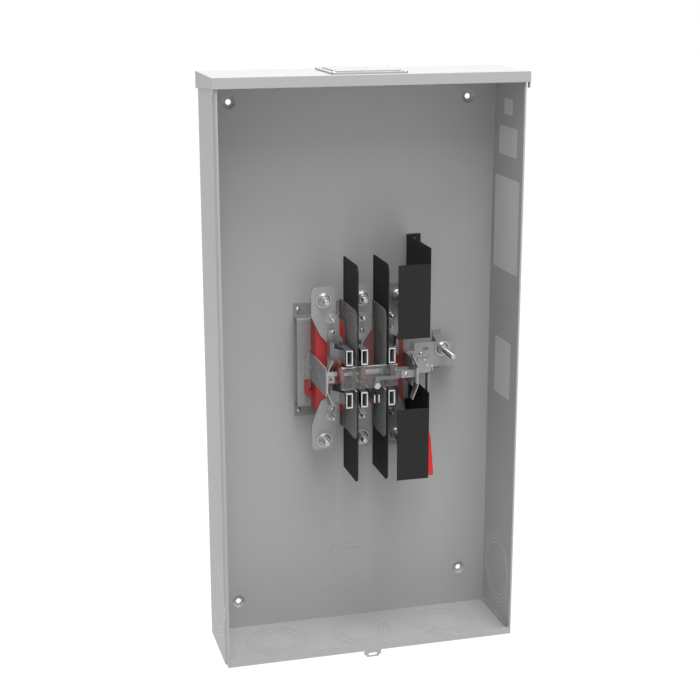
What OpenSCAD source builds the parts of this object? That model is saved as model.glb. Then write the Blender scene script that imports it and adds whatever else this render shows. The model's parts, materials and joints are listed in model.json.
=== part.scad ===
// Meter socket enclosure: a wall box for an electric meter, seven jaws, lever bypass, cover off.
// Millimetres. X runs right, Y runs back into the wall, Z runs up.
// The origin is on the wall, midway between the two upper mounting holes.

/* [Box] */
// Width across the side walls
box_w = 482.6; // [440:1:640]
// Height from the bottom face to the top of the hood
box_h = 927.1; // [860:1:1100]
// Depth from the back panel to the front edge
box_d = 139.7; // [139:0.5:200]
// Thickness of the box's sheet steel
sheet = 1.6; // [1.2:0.1:2.5]
// Outside radius of the two long back bends
back_bend_r = 3.2; // [2.8:0.1:8]
// How far the front band of each side wall steps in, so the cover can slip over it
edge_step = 2.2; // [1:0.1:5]
// Depth of that stepped front band
edge_band = 14.3; // [10:0.1:30]
// Extra thickness of the hemmed front edge
hem_t = 1.0; // [0.5:0.1:2]
// Length of the hem
hem_len = 8; // [4:0.5:9]
// Height of the upturned front sill of the bottom
sill_h = 12; // [8:0.5:30]
// Height of the bottom's weld flanges at the side walls
weld_flange_h = 9; // [5:0.5:20]

/* [Hood] */
// Gap between the hood's lip and the box
hood_gap = 1.6; // [0.5:0.1:6]
// Height of the hood's front lip
hood_lip_h = 16; // [10:0.5:30]
// Height of the hood's side flaps at the wall
hood_flap_h = 26; // [20:0.5:50]
// Width of the locating ears below the front corners of the hood
ear_w = 9; // [5:0.5:20]
// Drop of those ears below the lip
ear_drop = 9; // [4:0.5:20]

/* [Hub opening] */
// Sideways offset of the hub opening in the hood
hub_x = -4; // [-40:1:40]
// Distance of the hub opening's centre from the back panel
hub_depth = 75; // [72:1:78]
// Diameter of the hub opening
hub_hole_d = 78; // [50:1:86]
// Width of the closing plate
hub_plate_w = 118; // [110:1:140]
// Depth of the closing plate
hub_plate_l = 106; // [102:1:112]
// Height of the raised field pressed into the closing plate
hub_field_h = 1.9; // [0.5:0.1:4]
// Width of the flat rim around that field
hub_rim = 8; // [7:0.5:9]
// Diameter of the small centre knockout
hub_pip_d = 22; // [12:1:40]
// Thickness of the gasket under the plate
gasket_t = 1.2; // [0.8:0.1:3]

/* [Wall holes] */
// Distance of every wall hole from the side of the box
wall_hole_inset = 46.9; // [35:0.1:80]
// Distance of the two upper wall holes below the top of the hood
upper_hole_drop = 48.4; // [42:0.1:90]
// Height of the lower left wall hole
lower_left_z = 48.5; // [30:0.5:120]
// Height of the lower right wall hole
lower_right_z = 66.7; // [30:0.1:120]
// Radius of the wall holes
wall_hole_r = 4.3; // [3:0.1:6]
// Radius of the pressed dimples at their mouth
dimple_r = 10.6; // [9:0.1:16]
// Radius of the flat pad at the end of each dimple
pad_r = 7.6; // [6.5:0.1:8.5]
// How far the pads hold the back panel off the wall
pad_stand = 3.2; // [2:0.1:8]

/* [Knockouts] */
// Ring diameters of the bottom and back knockouts, trade sizes 2 to 3 1/2 inch
ko_small = 61.5; // [40:0.5:68]
// Second ring
ko_second = 74.6; // [70:0.5:84]
// Third ring
ko_third = 90.5; // [86:0.5:97]
// Outer ring
ko_outer = 103.2; // [99:0.5:108]
// Extra outer ring of the side knockouts
ko_side_outer = 115.9; // [111:0.5:120]
// Width of the sheared groove
ko_groove = 0.8; // [0.4:0.1:1.5]
// Depth of the sheared groove on each face
ko_groove_t = 0.5; // [0.2:0.05:0.6]
// Width of the ties that hold each ring
ko_tie = 5; // [2:0.5:10]
// Centre spacing of the three bottom knockouts
ko_pitch = 143; // [122:1:170]
// Distance of the bottom and side knockouts from the back panel
ko_depth = 69; // [63:0.5:72]
// Height of the side knockouts' centres
ko_side_z = 88; // [75:1:120]
// Height of the back knockout's centre
ko_back_z = 90; // [70:1:150]

/* [Hasp] */
// Width of the sealing hasp under the front edge
hasp_w = 28; // [20:1:50]
// Drop of the hasp below the bottom
hasp_drop = 11; // [9:0.5:25]
// Depth of the hasp's welded foot
hasp_foot = 16; // [8:0.5:30]
// Thickness of the hasp
hasp_t = 2; // [1.5:0.1:3]

/* [Meter block] */
// Height of the meter block's centre above the bottom
block_z = 457; // [420:1:480]
// Half width of the row of insulating bases
base_half_w = 72.5; // [71:0.1:74]
// Top of the bases above the block's centre
base_top = 78.5; // [76:0.5:79]
// Bottom of the bases below the block's centre
base_bottom = 69.5; // [66:0.5:70]
// Depth at which the bus bars lie on the bases
base_front = 58; // [56:0.5:60]
// Left edge of the mounting pan
pan_left = 95.5; // [90:0.5:130]
// Right edge of the mounting pan, inside the angled barriers' web
pan_right = 92.5; // [86:0.5:93]
// Depth of the pan's raised platform
pan_rise = 24; // [22:0.5:26]
// Sheet thickness of the pan and the support brackets
pan_t = 2; // [1.5:0.1:2.5]
// Length of the pan's feet on the back panel
pan_foot = 20.5; // [16:0.5:30]
// Margin of the platform beyond the bases, up and down
pan_margin = 0; // [0:0.5:1]

/* [Bus bars and jaws] */
// Distance of the outer bus bars from the centre
bus_x = 60.5; // [58:0.5:62]
// Sideways place of the middle bus bar
mid_bus_x = 2; // [1:0.5:2.5]
// Half width of a bus bar
bus_half_w = 20; // [18:0.5:20]
// Half width of the middle bus bar, which stands between the two barriers
mid_bus_half_w = 17; // [16:0.5:17.5]
// Thickness of a bus bar
bus_t = 3; // [2:0.1:4]
// Distance of the terminal studs from the block's centre
stud_rise = 115.5; // [110:0.5:125]
// Height of the line bus bars' small bolts
line_bolt_rise = 85; // [84.5:0.5:88]
// Drop of the load bus bars' small bolts
load_bolt_rise = 76; // [75.5:0.5:80]
// Distance of the outer jaws from the centre
jaw_x = 34.5; // [34.5:0.1:35.5]
// Sideways place of the middle jaws
mid_jaw_x = -10; // [-10.5:0.1:-9.5]
// Distance of the jaw rows from the block's centre
jaw_rise = 34.5; // [34:0.1:36]
// Height of a jaw
jaw_h = 24; // [22:0.5:25]
// Depth of the jaws' mouths
jaw_front = 122; // [116:0.5:124]
// Thickness of the jaw copper
jaw_t = 1.5; // [1.2:0.1:1.8]
// Gap of a jaw at its throat, a little under a meter blade
jaw_gap = 2.2; // [1.8:0.1:3]
// Sideways place of the neutral jaw
neutral_jaw_x = 10; // [9.5:0.1:10.5]
// Right end of the neutral bus bar
neutral_end = 171; // [164:1:175]
// Sideways place of the neutral stud
neutral_stud_x = 149; // [144:0.5:150]

/* [Fasteners] */
// Radius of the terminal studs, 3/8 inch
stud_r = 4.76; // [4:0.01:5.5]
// How far the terminal studs stand out of the bus bars
stud_out = 23; // [20:0.5:27]
// How far the neutral stud stands out of the neutral bar, room for two lugs
neutral_stud_out = 58; // [40:0.5:62]
// Radius of the flat washers on the studs
washer_r = 12.7; // [11:0.1:14]
// Radius of the small bus bolts, 1/4 inch
bolt_r = 3.17; // [2.5:0.01:3.5]
// How far the small bolts stand out of the bus bars
bolt_out = 19; // [12:0.5:20]
// Radial clearance of a bolt in its hole
bolt_clear = 0.3; // [0.2:0.05:0.5]

/* [Barriers and shields] */
// Sideways places of the two flat barriers
barrier_left_x = -21.4; // [-21.6:0.1:-21.2]
// Second barrier
barrier_right_x = 27.8; // [27.6:0.1:27.9]
// Thickness of the flat barriers and the clear wings
barrier_t = 1.5; // [1.2:0.1:1.6]
// Half height of the flat barriers
barrier_half_h = 176; // [150:1:200]
// Depth of the barriers' back edge
barrier_back = 38; // [36:0.5:40]
// Depth of the barriers' front edge
barrier_front = 124; // [120:0.5:126]
// Half height of the clear wings
wing_half_h = 104.5; // [95:0.5:120]
// Radius of the barriers' and wings' front corners
corner_r = 12; // [4:0.5:20]
// Height of the angled barriers' front flange
fold_flange_h = 117.5; // [90:0.5:118]
// Height of the angled barriers' web
fold_web_h = 142; // [125:1:142]
// Width of the angled barriers' front flange
fold_flange_w = 53; // [40:0.5:56]
// Depth of the angled barriers' front flange
fold_front = 128; // [126:0.5:132]
// Sideways place of the angled barriers' web
fold_x = 94.2; // [92:0.1:95]
// Height of the upper angled barrier above the block's centre
fold_upper = 61; // [58:0.5:70]
// Step from the upper angled barrier down to the lower one
fold_pitch = 232.5; // [231:0.5:240]

/* [Bypass] */
// Depth of the cross shaft
shaft_d = 86; // [85:0.5:87]
// Radius of the cross shaft's round ends
shaft_r = 4.6; // [4.2:0.1:5]
// Travel of the bypass bridges
bridge_travel = 7; // [5:0.1:7.5]
// Swing of the lever that closes the bypass, in degrees
lever_swing = 150; // [120:1:160]
// Thickness of the lever's grip
lever_t = 8; // [6:0.5:10]
// Thickness of the lever's steel arm
arm_t = 3.5; // [2.5:0.1:4.5]
// Left face of the lever's grip
lever_x = 101; // [100:0.5:104]
// Length of the lever, from the shaft to its tip
lever_len = 177; // [150:1:190]
// Radius of the lever's hub
lever_hub_r = 10.5; // [9:0.5:14]

/* [Hidden] */
$fn = 64;

paint = [0.70, 0.71, 0.72];
zinc = [0.74, 0.75, 0.76];
tin = [0.78, 0.78, 0.76];
steel = [0.66, 0.67, 0.68];
red_base = [0.66, 0.12, 0.12];
red_lever = [0.85, 0.10, 0.07];
fibre = [0.09, 0.09, 0.09];
clear = [0.85, 0.92, 0.90, 0.35];
rubber = [0.15, 0.15, 0.15];

eps = 0.01;
touch = 0.2;                       // gap between pieces that lie side by side
wall_h = box_h - sheet;            // height of the folded back and side walls
upper_hole_z = box_h - upper_hole_drop;
half_w = box_w / 2;
inner_half_w = half_w - sheet;
block_half_gap = 9;                // half the gap between the line and load bus bars

// --- placing and drawing helpers ---

// Puts the box's own frame (back panel at y = 0, bottom at z = 0) on the wall frame.
module place() {
    translate([0, -pad_stand, -upper_hole_z]) children();
}

// The same, with z measured from the meter block's centre.
module block() {
    place() translate([0, 0, block_z]) children();
}

// A flat outline in x and z, from depth d, t thick towards the front.
module plate(d, t) {
    translate([0, -d, 0]) rotate([90, 0, 0]) linear_extrude(t) children();
}

// A flat outline in depth and z, from x, t thick to the right.
module slab(x, t) {
    translate([x + t, 0, 0]) rotate([90, 0, -90]) linear_extrude(t) children();
}

// An outline in x and depth, from z, h tall.
module column(z, h) {
    translate([0, 0, z]) linear_extrude(h) mirror([0, 1]) children();
}

// A round bar along the depth.
module rod(x, z, d0, d1, r) {
    translate([x, -d0, z]) rotate([90, 0, 0]) cylinder(h = d1 - d0, r = r);
}

// A round bar along x.
module axle(x0, x1, d, z, r) {
    translate([x0, -d, z]) rotate([0, 90, 0]) cylinder(h = x1 - x0, r = r);
}

// A hexagonal bar along the depth, af across its flats.
module hex_rod(x, z, d0, d1, af) {
    translate([x, -d0, z]) rotate([90, 0, 0]) cylinder(h = d1 - d0, r = af / sqrt(3), $fn = 6);
}

bend_step = 10;                    // degrees of each flat along a slanted bend
function direction(a, b) = (b - a) / norm(b - a);
function left(v) = [-v[1], v[0]];
function turned(v, a) = [v[0] * cos(a) - v[1] * sin(a), v[0] * sin(a) + v[1] * cos(a)];
function backwards(list) = [for (i = [len(list) - 1 : -1 : 0]) list[i]];

// A folded strip, t thick along a centre line of any directions, with bends of inside radius r.
module folded(path, t, r) {
    last = len(path) - 1;
    mid = r + t / 2;
    function way(i) = direction(path[i], path[i + 1]);
    function turn(i) = let (a = way(i - 1), b = way(i)) atan2(a[0] * b[1] - a[1] * b[0], a * b);
    function bend(i, side) = let (
            a = turn(i),
            s = sign(a),
            steps = ceil(abs(a) / bend_step),
            centre = path[i] - way(i - 1) * mid * tan(abs(a) / 2) + left(way(i - 1)) * s * mid)
        [for (k = [0 : steps])
            centre - turned(left(way(i - 1)), a * k / steps) * s * (mid - s * side * t / 2)];
    function edge(side) = [path[0] + left(way(0)) * side * t / 2,
        for (i = [1 : last - 1]) each bend(i, side),
        path[last] + left(way(last - 1)) * side * t / 2];
    polygon(concat(edge(-1), backwards(edge(1))));
}

// The same for a centre line that runs only along the axes, with true round bends.
module bent(path, t, r) {
    last = len(path) - 1;
    mid = r + t / 2;
    for (i = [0 : last - 1]) {
        way = direction(path[i], path[i + 1]);
        from = path[i] + way * (i == 0 ? 0 : mid);
        to = path[i + 1] - way * (i == last - 1 ? 0 : mid);
        side = left(way) * t / 2;
        polygon([from - side, to - side, to + side, from + side]);
    }
    for (i = [1 : last - 1]) {
        corner = direction(path[i - 1], path[i]) - direction(path[i], path[i + 1]);
        reach = r + t;
        translate(path[i] - corner * mid) intersection() {
            difference() {
                circle(reach);
                circle(r);
            }
            translate([min(corner[0], 0), min(corner[1], 0)] * reach) square(reach);
        }
    }
}

// Concentric sheared grooves of one knockout, with ties left across them.
module knockout(rings) {
    difference() {
        for (d = rings) difference() {
            cylinder(h = 2 * ko_groove_t, d = d, center = true);
            cylinder(h = 3 * ko_groove_t, d = d - 2 * ko_groove, center = true);
        }
        rotate(30) cube([2 * ko_side_outer, ko_tie, 4 * ko_groove_t], center = true);
    }
}

// The same grooves on both faces of a sheet.
module knockout_both(rings) {
    for (face = [0, sheet]) translate([0, 0, face]) knockout(rings);
}

// --- the box ---

wall_holes = [[-half_w + wall_hole_inset, upper_hole_z], [half_w - wall_hole_inset, upper_hole_z],
    [-half_w + wall_hole_inset, lower_left_z], [half_w - wall_hole_inset, lower_right_z]];

// Plan outline of the right half of the folded back and side wall.
module wall_section() {
    step_y = -(box_d - edge_band);
    shift = sheet * tan(22.5);
    translate([0, -sheet]) square([half_w - back_bend_r, sheet]);
    translate([half_w - back_bend_r, -back_bend_r]) intersection() {
        difference() {
            circle(back_bend_r);
            circle(back_bend_r - sheet);
        }
        square(back_bend_r);
    }
    polygon([[half_w, -back_bend_r], [half_w, step_y], [half_w - edge_step, step_y - edge_step],
        [half_w - edge_step, -box_d], [inner_half_w - edge_step - hem_t, -box_d],
        [inner_half_w - edge_step - hem_t, -box_d + hem_len], [inner_half_w - edge_step, -box_d + hem_len],
        [inner_half_w - edge_step, step_y - edge_step + shift], [inner_half_w, step_y + shift],
        [inner_half_w, -back_bend_r]]);
}

module dimple(shift) {
    translate([0, shift, 0]) rotate([-90, 0, 0]) cylinder(h = pad_stand, r1 = dimple_r, r2 = pad_r);
}

module box_shell() color(paint) place() difference() {
    union() {
        linear_extrude(wall_h) {
            wall_section();
            mirror([1, 0]) wall_section();
        }
        for (p = wall_holes) translate([p[0], 0, p[1]]) dimple(0);
    }
    for (p = wall_holes) translate([p[0], 0, p[1]]) {
        dimple(-sheet - eps);
        rotate([-90, 0, 0]) translate([0, 0, -sheet]) cylinder(h = pad_stand + 2 * sheet, r = wall_hole_r);
    }
    translate([0, 0, ko_back_z]) rotate([90, 0, 0]) knockout_both([ko_second, ko_third, ko_outer]);
    for (side = [-1, 1]) translate([side * half_w, -ko_depth, ko_side_z]) rotate([0, -side * 90, 0])
        knockout_both([ko_third, ko_outer, ko_side_outer]);
}

module bottom_end() color(paint) place() difference() {
    sill_half_w = inner_half_w - edge_step - hem_t - touch;
    wide = inner_half_w - touch;
    turn_in = box_d - edge_band - sheet;       // where the plate steps in along the walls' stepped band
    rim = [[wide - back_bend_r, sheet], [wide, sheet + back_bend_r], [wide, turn_in],
        [sill_half_w, turn_in + wide - sill_half_w], [sill_half_w, box_d]];
    union() {
        column(0, sheet) polygon(concat(rim, [for (p = backwards(rim)) [-p[0], p[1]]]));
        translate([-sill_half_w, -box_d, 0]) cube([2 * sill_half_w, sheet, sill_h]);
        for (side = [-1, 1]) translate([side * wide - (side > 0 ? sheet : 0), -turn_in, 0])
            cube([sheet, turn_in - sheet - back_bend_r, weld_flange_h]);
    }
    for (i = [-1 : 1]) translate([i * ko_pitch, -ko_depth, 0])
        knockout_both([ko_small, ko_second, ko_third, ko_outer]);
}

module top_hood() color(paint) place() difference() {
    out = hood_gap + sheet;
    union() {
        translate([-half_w - out, -box_d - out, wall_h]) cube([box_w + 2 * out, box_d + out, sheet]);
        translate([-half_w - out, -box_d - out, box_h - hood_lip_h])
            cube([box_w + 2 * out, sheet, hood_lip_h]);
        for (x = [-half_w - out, half_w + hood_gap]) slab(x, sheet)
            polygon([[0, box_h], [0, box_h - hood_flap_h], [box_d + out - ear_w, box_h - hood_lip_h],
                [box_d + out - ear_w, box_h - hood_lip_h - ear_drop],
                [box_d + hood_gap, box_h - hood_lip_h - ear_drop], [box_d + hood_gap, box_h]]);
    }
    translate([hub_x, -hub_depth, wall_h - sheet]) cylinder(h = 3 * sheet, d = hub_hole_d);
    for (p = hub_screw_places) translate([p[0], p[1], wall_h - sheet])
        cylinder(h = 3 * sheet, r = hub_screw_r);
}

// --- the hub opening's closing plate ---

hub_screw_r = 2.4;
hub_corner_r = 5;
hub_screw_places = [for (sx = [-1, 1], sy = [-1, 1])
    [hub_x + sx * (hub_plate_w - hub_rim) / 2, -hub_depth + sy * (hub_plate_l - hub_rim) / 2]];

// A rectangle with rounded corners, about the hub opening's centre.
module hub_outline(inset) {
    w = hub_plate_w - 2 * inset;
    l = hub_plate_l - 2 * inset;
    translate([hub_x, -hub_depth]) {
        square([w - 2 * hub_corner_r, l], center = true);
        square([w, l - 2 * hub_corner_r], center = true);
        for (sx = [-1, 1], sy = [-1, 1])
            translate([sx * (w / 2 - hub_corner_r), sy * (l / 2 - hub_corner_r)]) circle(hub_corner_r);
    }
}

module hub_gasket() color(rubber) place() translate([0, 0, box_h]) difference() {
    linear_extrude(gasket_t) hub_outline(0);
    translate([hub_x, -hub_depth, -1]) cylinder(h = gasket_t + 2, d = hub_hole_d);
    for (p = hub_screw_places) translate([p[0], p[1], -1]) cylinder(h = gasket_t + 2, r = hub_screw_r + 0.1);
}

module hub_plate() color(paint) place() translate([0, 0, box_h + gasket_t]) difference() {
    union() {
        linear_extrude(sheet) hub_outline(0);
        translate([0, 0, sheet]) linear_extrude(hub_field_h) hub_outline(hub_rim);
    }
    translate([0, 0, -eps]) linear_extrude(hub_field_h + eps) hub_outline(hub_rim + sheet);
    translate([hub_x, -hub_depth, sheet + hub_field_h]) knockout([hub_pip_d]);
    for (p = hub_screw_places) translate([p[0], p[1], -1]) cylinder(h = sheet + 2, r = hub_screw_r + 0.1);
}

module hub_screws() color(zinc) place() for (p = hub_screw_places) translate([p[0], p[1], 0]) {
    translate([0, 0, box_h + gasket_t + sheet]) pan_head(4.2, 2.2);
    translate([0, 0, wall_h - 5]) cylinder(h = gasket_t + 2 * sheet + 5, r = hub_screw_r - 0.1);
}

// A low domed screw head standing on z = 0.
module pan_head(r, h) {
    dome = (r * r + h * h) / (2 * h);
    intersection() {
        translate([0, 0, h - dome]) sphere(dome);
        cylinder(h = h, r = r);
    }
}

// The same head, facing the front at depth d.
module face_head(x, z, d, r, h) {
    translate([x, -d, z]) rotate([90, 0, 0]) pan_head(r, h);
}

module sealing_hasp() color(paint) place() difference() {
    union() {
        translate([-hasp_w / 2, -box_d + hasp_t, -hasp_t]) cube([hasp_w, hasp_foot, hasp_t]);
        plate(box_d - hasp_t, hasp_t) difference() {
            translate([-hasp_w / 2, -hasp_drop]) square([hasp_w, hasp_drop]);
            translate([-hasp_w / 2, -hasp_drop]) circle(4);
            translate([hasp_w / 2, -hasp_drop]) circle(4);
        }
    }
    translate([-7, -box_d - 1, -hasp_drop + 2]) cube([14, hasp_t + 2, 5]);
}

// --- the mounting pan ---

pan_up = base_top + pan_margin;
pan_down = base_bottom + pan_margin;
pan_screws_at = [for (x = [-pan_left + 6.5, pan_right - 6.5],
    z = [pan_up + pan_foot / 2, -pan_down - pan_foot / 2]) [x, z]];

module mounting_pan() color(zinc) block() difference() {
    mid = pan_t / 2;
    slab(-pan_left, pan_left + pan_right) bent([[sheet + mid, pan_up + pan_foot], [sheet + mid, pan_up - mid],
        [pan_rise - mid, pan_up - mid], [pan_rise - mid, mid - pan_down], [sheet + mid, mid - pan_down],
        [sheet + mid, -pan_down - pan_foot]], pan_t, 1);
    for (p = pan_screws_at) rod(p[0], p[1], sheet - 1, sheet + pan_t + 1, 2.5);
    for (p = base_screw_places) rod(p[0], p[1], pan_rise - pan_t - 1, pan_rise + 1, base_screw_r + 0.2);
}

// One screw of the back panel: its head at depth d, its shank down to the panel.
module panel_screw(x, z, d) {
    face_head(x, z, d, 4.4, 2.6);
    rod(x, z, sheet + 0.05, d, 2.3);
}

module panel_screws() color(zinc) block() {
    for (p = pan_screws_at) panel_screw(p[0], p[1], sheet + pan_t);
    for (z = [fold_upper, fold_upper - fold_pitch])
        panel_screw(fold_x + 12, z + fold_screw_rise, sheet + fold_t);
}

// --- the insulating bases ---

foot_in = 5.5;                                  // bus foot, on the jaw's fixed side
// each phase: its bus bar's x, its jaw's x, the jaw's spring side, its foot's reach on that side,
// the heights where the bar's spring side starts and stops stepping in, and the bar's half width
phases = [[-bus_x, -jaw_x, -1, 20, 89, 45, bus_half_w],
    [mid_bus_x, mid_jaw_x, 1, 12, 63, 38, mid_bus_half_w], [bus_x, jaw_x, 1, 20, 89, 45, bus_half_w]];
slot_out = barrier_t / 2 + touch;               // slot edge right of a barrier's centre
wing_off = barrier_t + touch;                   // from a barrier's centre to its wing's
slot_in = barrier_t / 2 + touch;                // slot edge left of a wing's centre
wing_gap = 1.9;                                 // more room between the right barrier and its wing
barriers = [barrier_left_x, barrier_right_x];
wings = [barrier_left_x - wing_off, barrier_right_x - wing_off - wing_gap];
seams = [-base_half_w, (barriers[0] + wings[0]) / 2, (barriers[1] + wings[1]) / 2, base_half_w];
seam_gap = touch / 4;
bridge_half_w = 7;
bridge_half_h = 20;
bridge_lift = 0.3;                              // gap left when the bridge is closed
stem_r = 4;
stem_clear = 0.06;
spring_well_r = 6.4;
spring_well = 12;
rib_w = 2.6;
base_screw_r = 2;
neutral_up = 13;                                // top of the neutral bar behind the bases
neutral_down = 11;
bar_groove = bus_t + 0.4;
bar_groove_w = 80;
rivet_r = 2.4;
wing_rise = 4;                                  // wings and barriers sit this far above the centre

function bridge_x(i) = phases[i][1] + phases[i][2] * (phases[i][3] - foot_in) / 2;
function rivet_x(i) = phases[i][1] + phases[i][2] * 12;
function base_mid(i) = (seams[i] + seams[i + 1]) / 2;
rivet_rise = jaw_rise + 28.5;
base_screw_places = [for (i = [0 : 2], z = [base_top - 12, -base_bottom + 12]) [base_mid(i), z]];

hook_t = 8;
hook_out = 11;

// Moulded wire hook left of the first base, open at its top.
module wire_hook() {
    polygon([[-hook_out, -24.2], [-hook_out, -45], [4 - hook_out, -49], [1, -49], [1, -40.2],
        [6 - hook_out, -40.2], [6 - hook_out, -24.2]]);
}

module base(i) {
    back = pan_rise;
    h = base_top + base_bottom;
    x0 = seams[i] + (i > 0 ? seam_gap : 0);
    x1 = seams[i + 1] - (i < 2 ? seam_gap : 0);
    front_x0 = i > 0 ? barriers[i - 1] + slot_out : x0;
    front_x1 = i < 2 ? wings[i] - slot_in : x1;
    color(red_base) block() difference() {
        union() {
            translate([x0, -barrier_back, -base_bottom]) cube([x1 - x0, barrier_back - back, h]);
            translate([front_x0, -base_front, -base_bottom])
                cube([front_x1 - front_x0, base_front - back, h]);
            if (i < 2) translate([front_x1 - rib_w, -barrier_back - 4, wing_rise - wing_half_h])
                cube([rib_w, 12, 2 * wing_half_h]);
            if (i == 0) plate(back, hook_t) translate([x0, 0]) wire_hook();
        }
        // moulded relief between the two rivet bosses, behind the bus bars
        for (side = [-1, 1]) translate([base_mid(i) - 12, -base_front + 26, side * 40 - 5]) cube([24, 9, 10]);
        // groove for the neutral bar
        if (i > 0)
            translate([i == 1 ? neutral_jaw_x - 8 : seams[i] - 1, -back - bar_groove, -neutral_down - 0.4])
            cube([bar_groove_w, bar_groove + 1, neutral_up + neutral_down + 0.8]);
        if (i == 1) {
            translate([neutral_jaw_x - 8, -back - bar_groove, -jaw_rise - 8])
                cube([16, bar_groove + 1, jaw_rise]);
            rod(neutral_jaw_x, -jaw_rise, back, base_front + 1, stem_r + stem_clear);
        }
        // guide and spring well of the bypass bridge
        rod(bridge_x(i), 0, back + 8, base_front + 1, stem_r + stem_clear);
        rod(bridge_x(i), 0, base_front - spring_well, base_front + 1, spring_well_r);
        for (side = [-1, 1]) rod(rivet_x(i), side * rivet_rise, base_front - 12, base_front + 1, rivet_r);
        for (p = base_screw_places) rod(p[0], p[1], back - 1, back + 16, base_screw_r);
    }
}

module base_a() { base(0); }
module base_b() { base(1); }
module base_c() { base(2); }

module base_screws() color(zinc) block() for (p = base_screw_places) {
    translate([p[0], -(pan_rise - pan_t), p[1]]) rotate([-90, 0, 0]) pan_head(4, 2.4);
    rod(p[0], p[1], pan_rise - pan_t, pan_rise + 15, base_screw_r - 0.05);
}

// --- bus bars and terminals ---

bus_front = base_front + bus_t;
end_r = 9;                     // corners of a bus bar's terminal end
line_end = 21;                 // reach of the end past its stud
load_end = 17;

// Outline of a line bus bar: rounded terminal end, body, and a foot that steps in to the jaw.
module bus_outline(p, knee, end) {
    middle = p[2] * p[0];
    half = p[6];
    inner = middle - half;
    outer = middle + half;
    foot_inner = p[2] * p[1] - foot_in;
    foot_outer = p[2] * p[1] + p[3];
    flank = foot_inner + (inner - foot_inner) / 2;
    wide_foot = p[3] > 15;
    narrow = wide_foot ? [[inner, 92], [flank, 84], [flank, 58], [foot_inner, 50]]
        : [[inner, 66], [foot_inner, 52]];
    shoulder = wide_foot ? [[outer - 14.8, knee]] : [];
    mirror([p[2] > 0 ? 0 : 1, 0]) {
        translate([middle, stud_rise]) {
            translate([-half, -1]) square([2 * half, end - end_r + 1]);
            translate([end_r - half, 0]) square([2 * (half - end_r), end]);
            for (s = [-1, 1]) translate([s * (half - end_r), end - end_r]) circle(end_r);
        }
        polygon(concat([[inner, stud_rise]], narrow,
            [[foot_inner, block_half_gap], [foot_outer, block_half_gap], [foot_outer, p[5]]],
            shoulder, [[outer, p[4]], [outer, stud_rise]]));
    }
}

function bolt_x(i) = phases[i][0] + (i == 1 ? -1 : -phases[i][2] * 11.5);

module bus(i, side) {
    bolt_rise = side > 0 ? line_bolt_rise : load_bolt_rise;
    color(tin) block() difference() {
        plate(base_front, bus_t) scale([1, side]) bus_outline(phases[i], side > 0 ? 57.6 : 50,
            side > 0 ? line_end : load_end);
        rod(phases[i][0], side * stud_rise, base_front - 1, bus_front + 1, stud_r + bolt_clear);
        rod(bolt_x(i), side * bolt_rise, base_front - 1, bus_front + 1, bolt_r + bolt_clear);
        rod(rivet_x(i), side * rivet_rise, base_front - 1, bus_front + 1, rivet_r);
    }
}

module line_bus_a() { bus(0, 1); }
module line_bus_b() { bus(1, 1); }
module line_bus_c() { bus(2, 1); }
module load_bus_a() { bus(0, -1); }
module load_bus_b() { bus(1, -1); }
module load_bus_c() { bus(2, -1); }

washer_t = 2;
lock_t = 2.4;
nut_t = 8;
nut_af = 14.3;
shank_step = 0.45;             // how much slimmer the stud's shank is than its threaded end
small_washer_t = 1.5;
small_nut_t = 5.6;
small_nut_af = 11.1;
neutral_stud_z = 14;
neutral_back = pan_rise + 0.1;
neutral_front = neutral_back + bus_t;
// each terminal: x, z, depth of its face and of its stud's head, and how far the stud stands out
terminals = [for (p = phases, side = [1, -1]) [p[0], side * stud_rise, bus_front, base_front, stud_out],
    [neutral_stud_x, neutral_stud_z, neutral_front, neutral_back - pan_t, neutral_stud_out]];

module terminal_studs() color(steel) block() for (s = terminals) {
    hex_rod(s[0], s[1], s[3] - 5.5, s[3], nut_af);
    shank_end = s[2] + washer_t + lock_t + nut_t + 0.2;
    rod(s[0], s[1], s[3], shank_end, stud_r - shank_step);
    rod(s[0], s[1], shank_end, s[2] + s[4] - 1, stud_r);
    translate([s[0], -(s[2] + s[4] - 1), s[1]]) rotate([90, 0, 0])
        cylinder(h = 1, r1 = stud_r, r2 = stud_r - 0.9);
}

module terminal_washers() color(zinc) block() for (s = terminals) {
    difference() {
        rod(s[0], s[1], s[2], s[2] + washer_t, washer_r);
        rod(s[0], s[1], s[2] - 1, s[2] + 10, stud_r + bolt_clear);
    }
    difference() {
        translate([s[0], -(s[2] + washer_t), s[1]]) rotate([90, 0, 0])
            cylinder(h = lock_t, r1 = 10.6, r2 = 8.4);
        rod(s[0], s[1], s[2] - 1, s[2] + 10, stud_r + bolt_clear);
    }
}

// A hexagonal nut with a chamfered face, on a stud of radius r.
module nut(x, z, d, af, t, r) {
    difference() {
        intersection() {
            hex_rod(x, z, d, d + t, af);
            translate([x, -d, z]) rotate([90, 0, 0])
                cylinder(h = t + 1.2, r1 = af * 0.5 + t, r2 = af * 0.5 - 1.4);
        }
        rod(x, z, d - 1, d + t + 1, r + 0.04);
    }
}

module terminal_nuts() color(zinc) block() for (s = terminals)
    nut(s[0], s[1], s[2] + washer_t + lock_t, nut_af, nut_t, stud_r);

small_bolts = [for (i = [0 : 2], side = [1, -1])
    [bolt_x(i), side > 0 ? line_bolt_rise : -load_bolt_rise]];

module bus_bolts() color(steel) block() for (p = small_bolts) {
    hex_rod(p[0], p[1], base_front - 4, base_front, 9.5);
    rod(p[0], p[1], base_front, bus_front + bolt_out, bolt_r);
}

module bus_nuts() color(zinc) block() for (p = small_bolts) {
    difference() {
        rod(p[0], p[1], bus_front, bus_front + small_washer_t, 8);
        rod(p[0], p[1], bus_front - 1, bus_front + 10, bolt_r + bolt_clear);
    }
    nut(p[0], p[1], bus_front + small_washer_t, small_nut_af, small_nut_t, bolt_r);
}

// --- jaws ---

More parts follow.
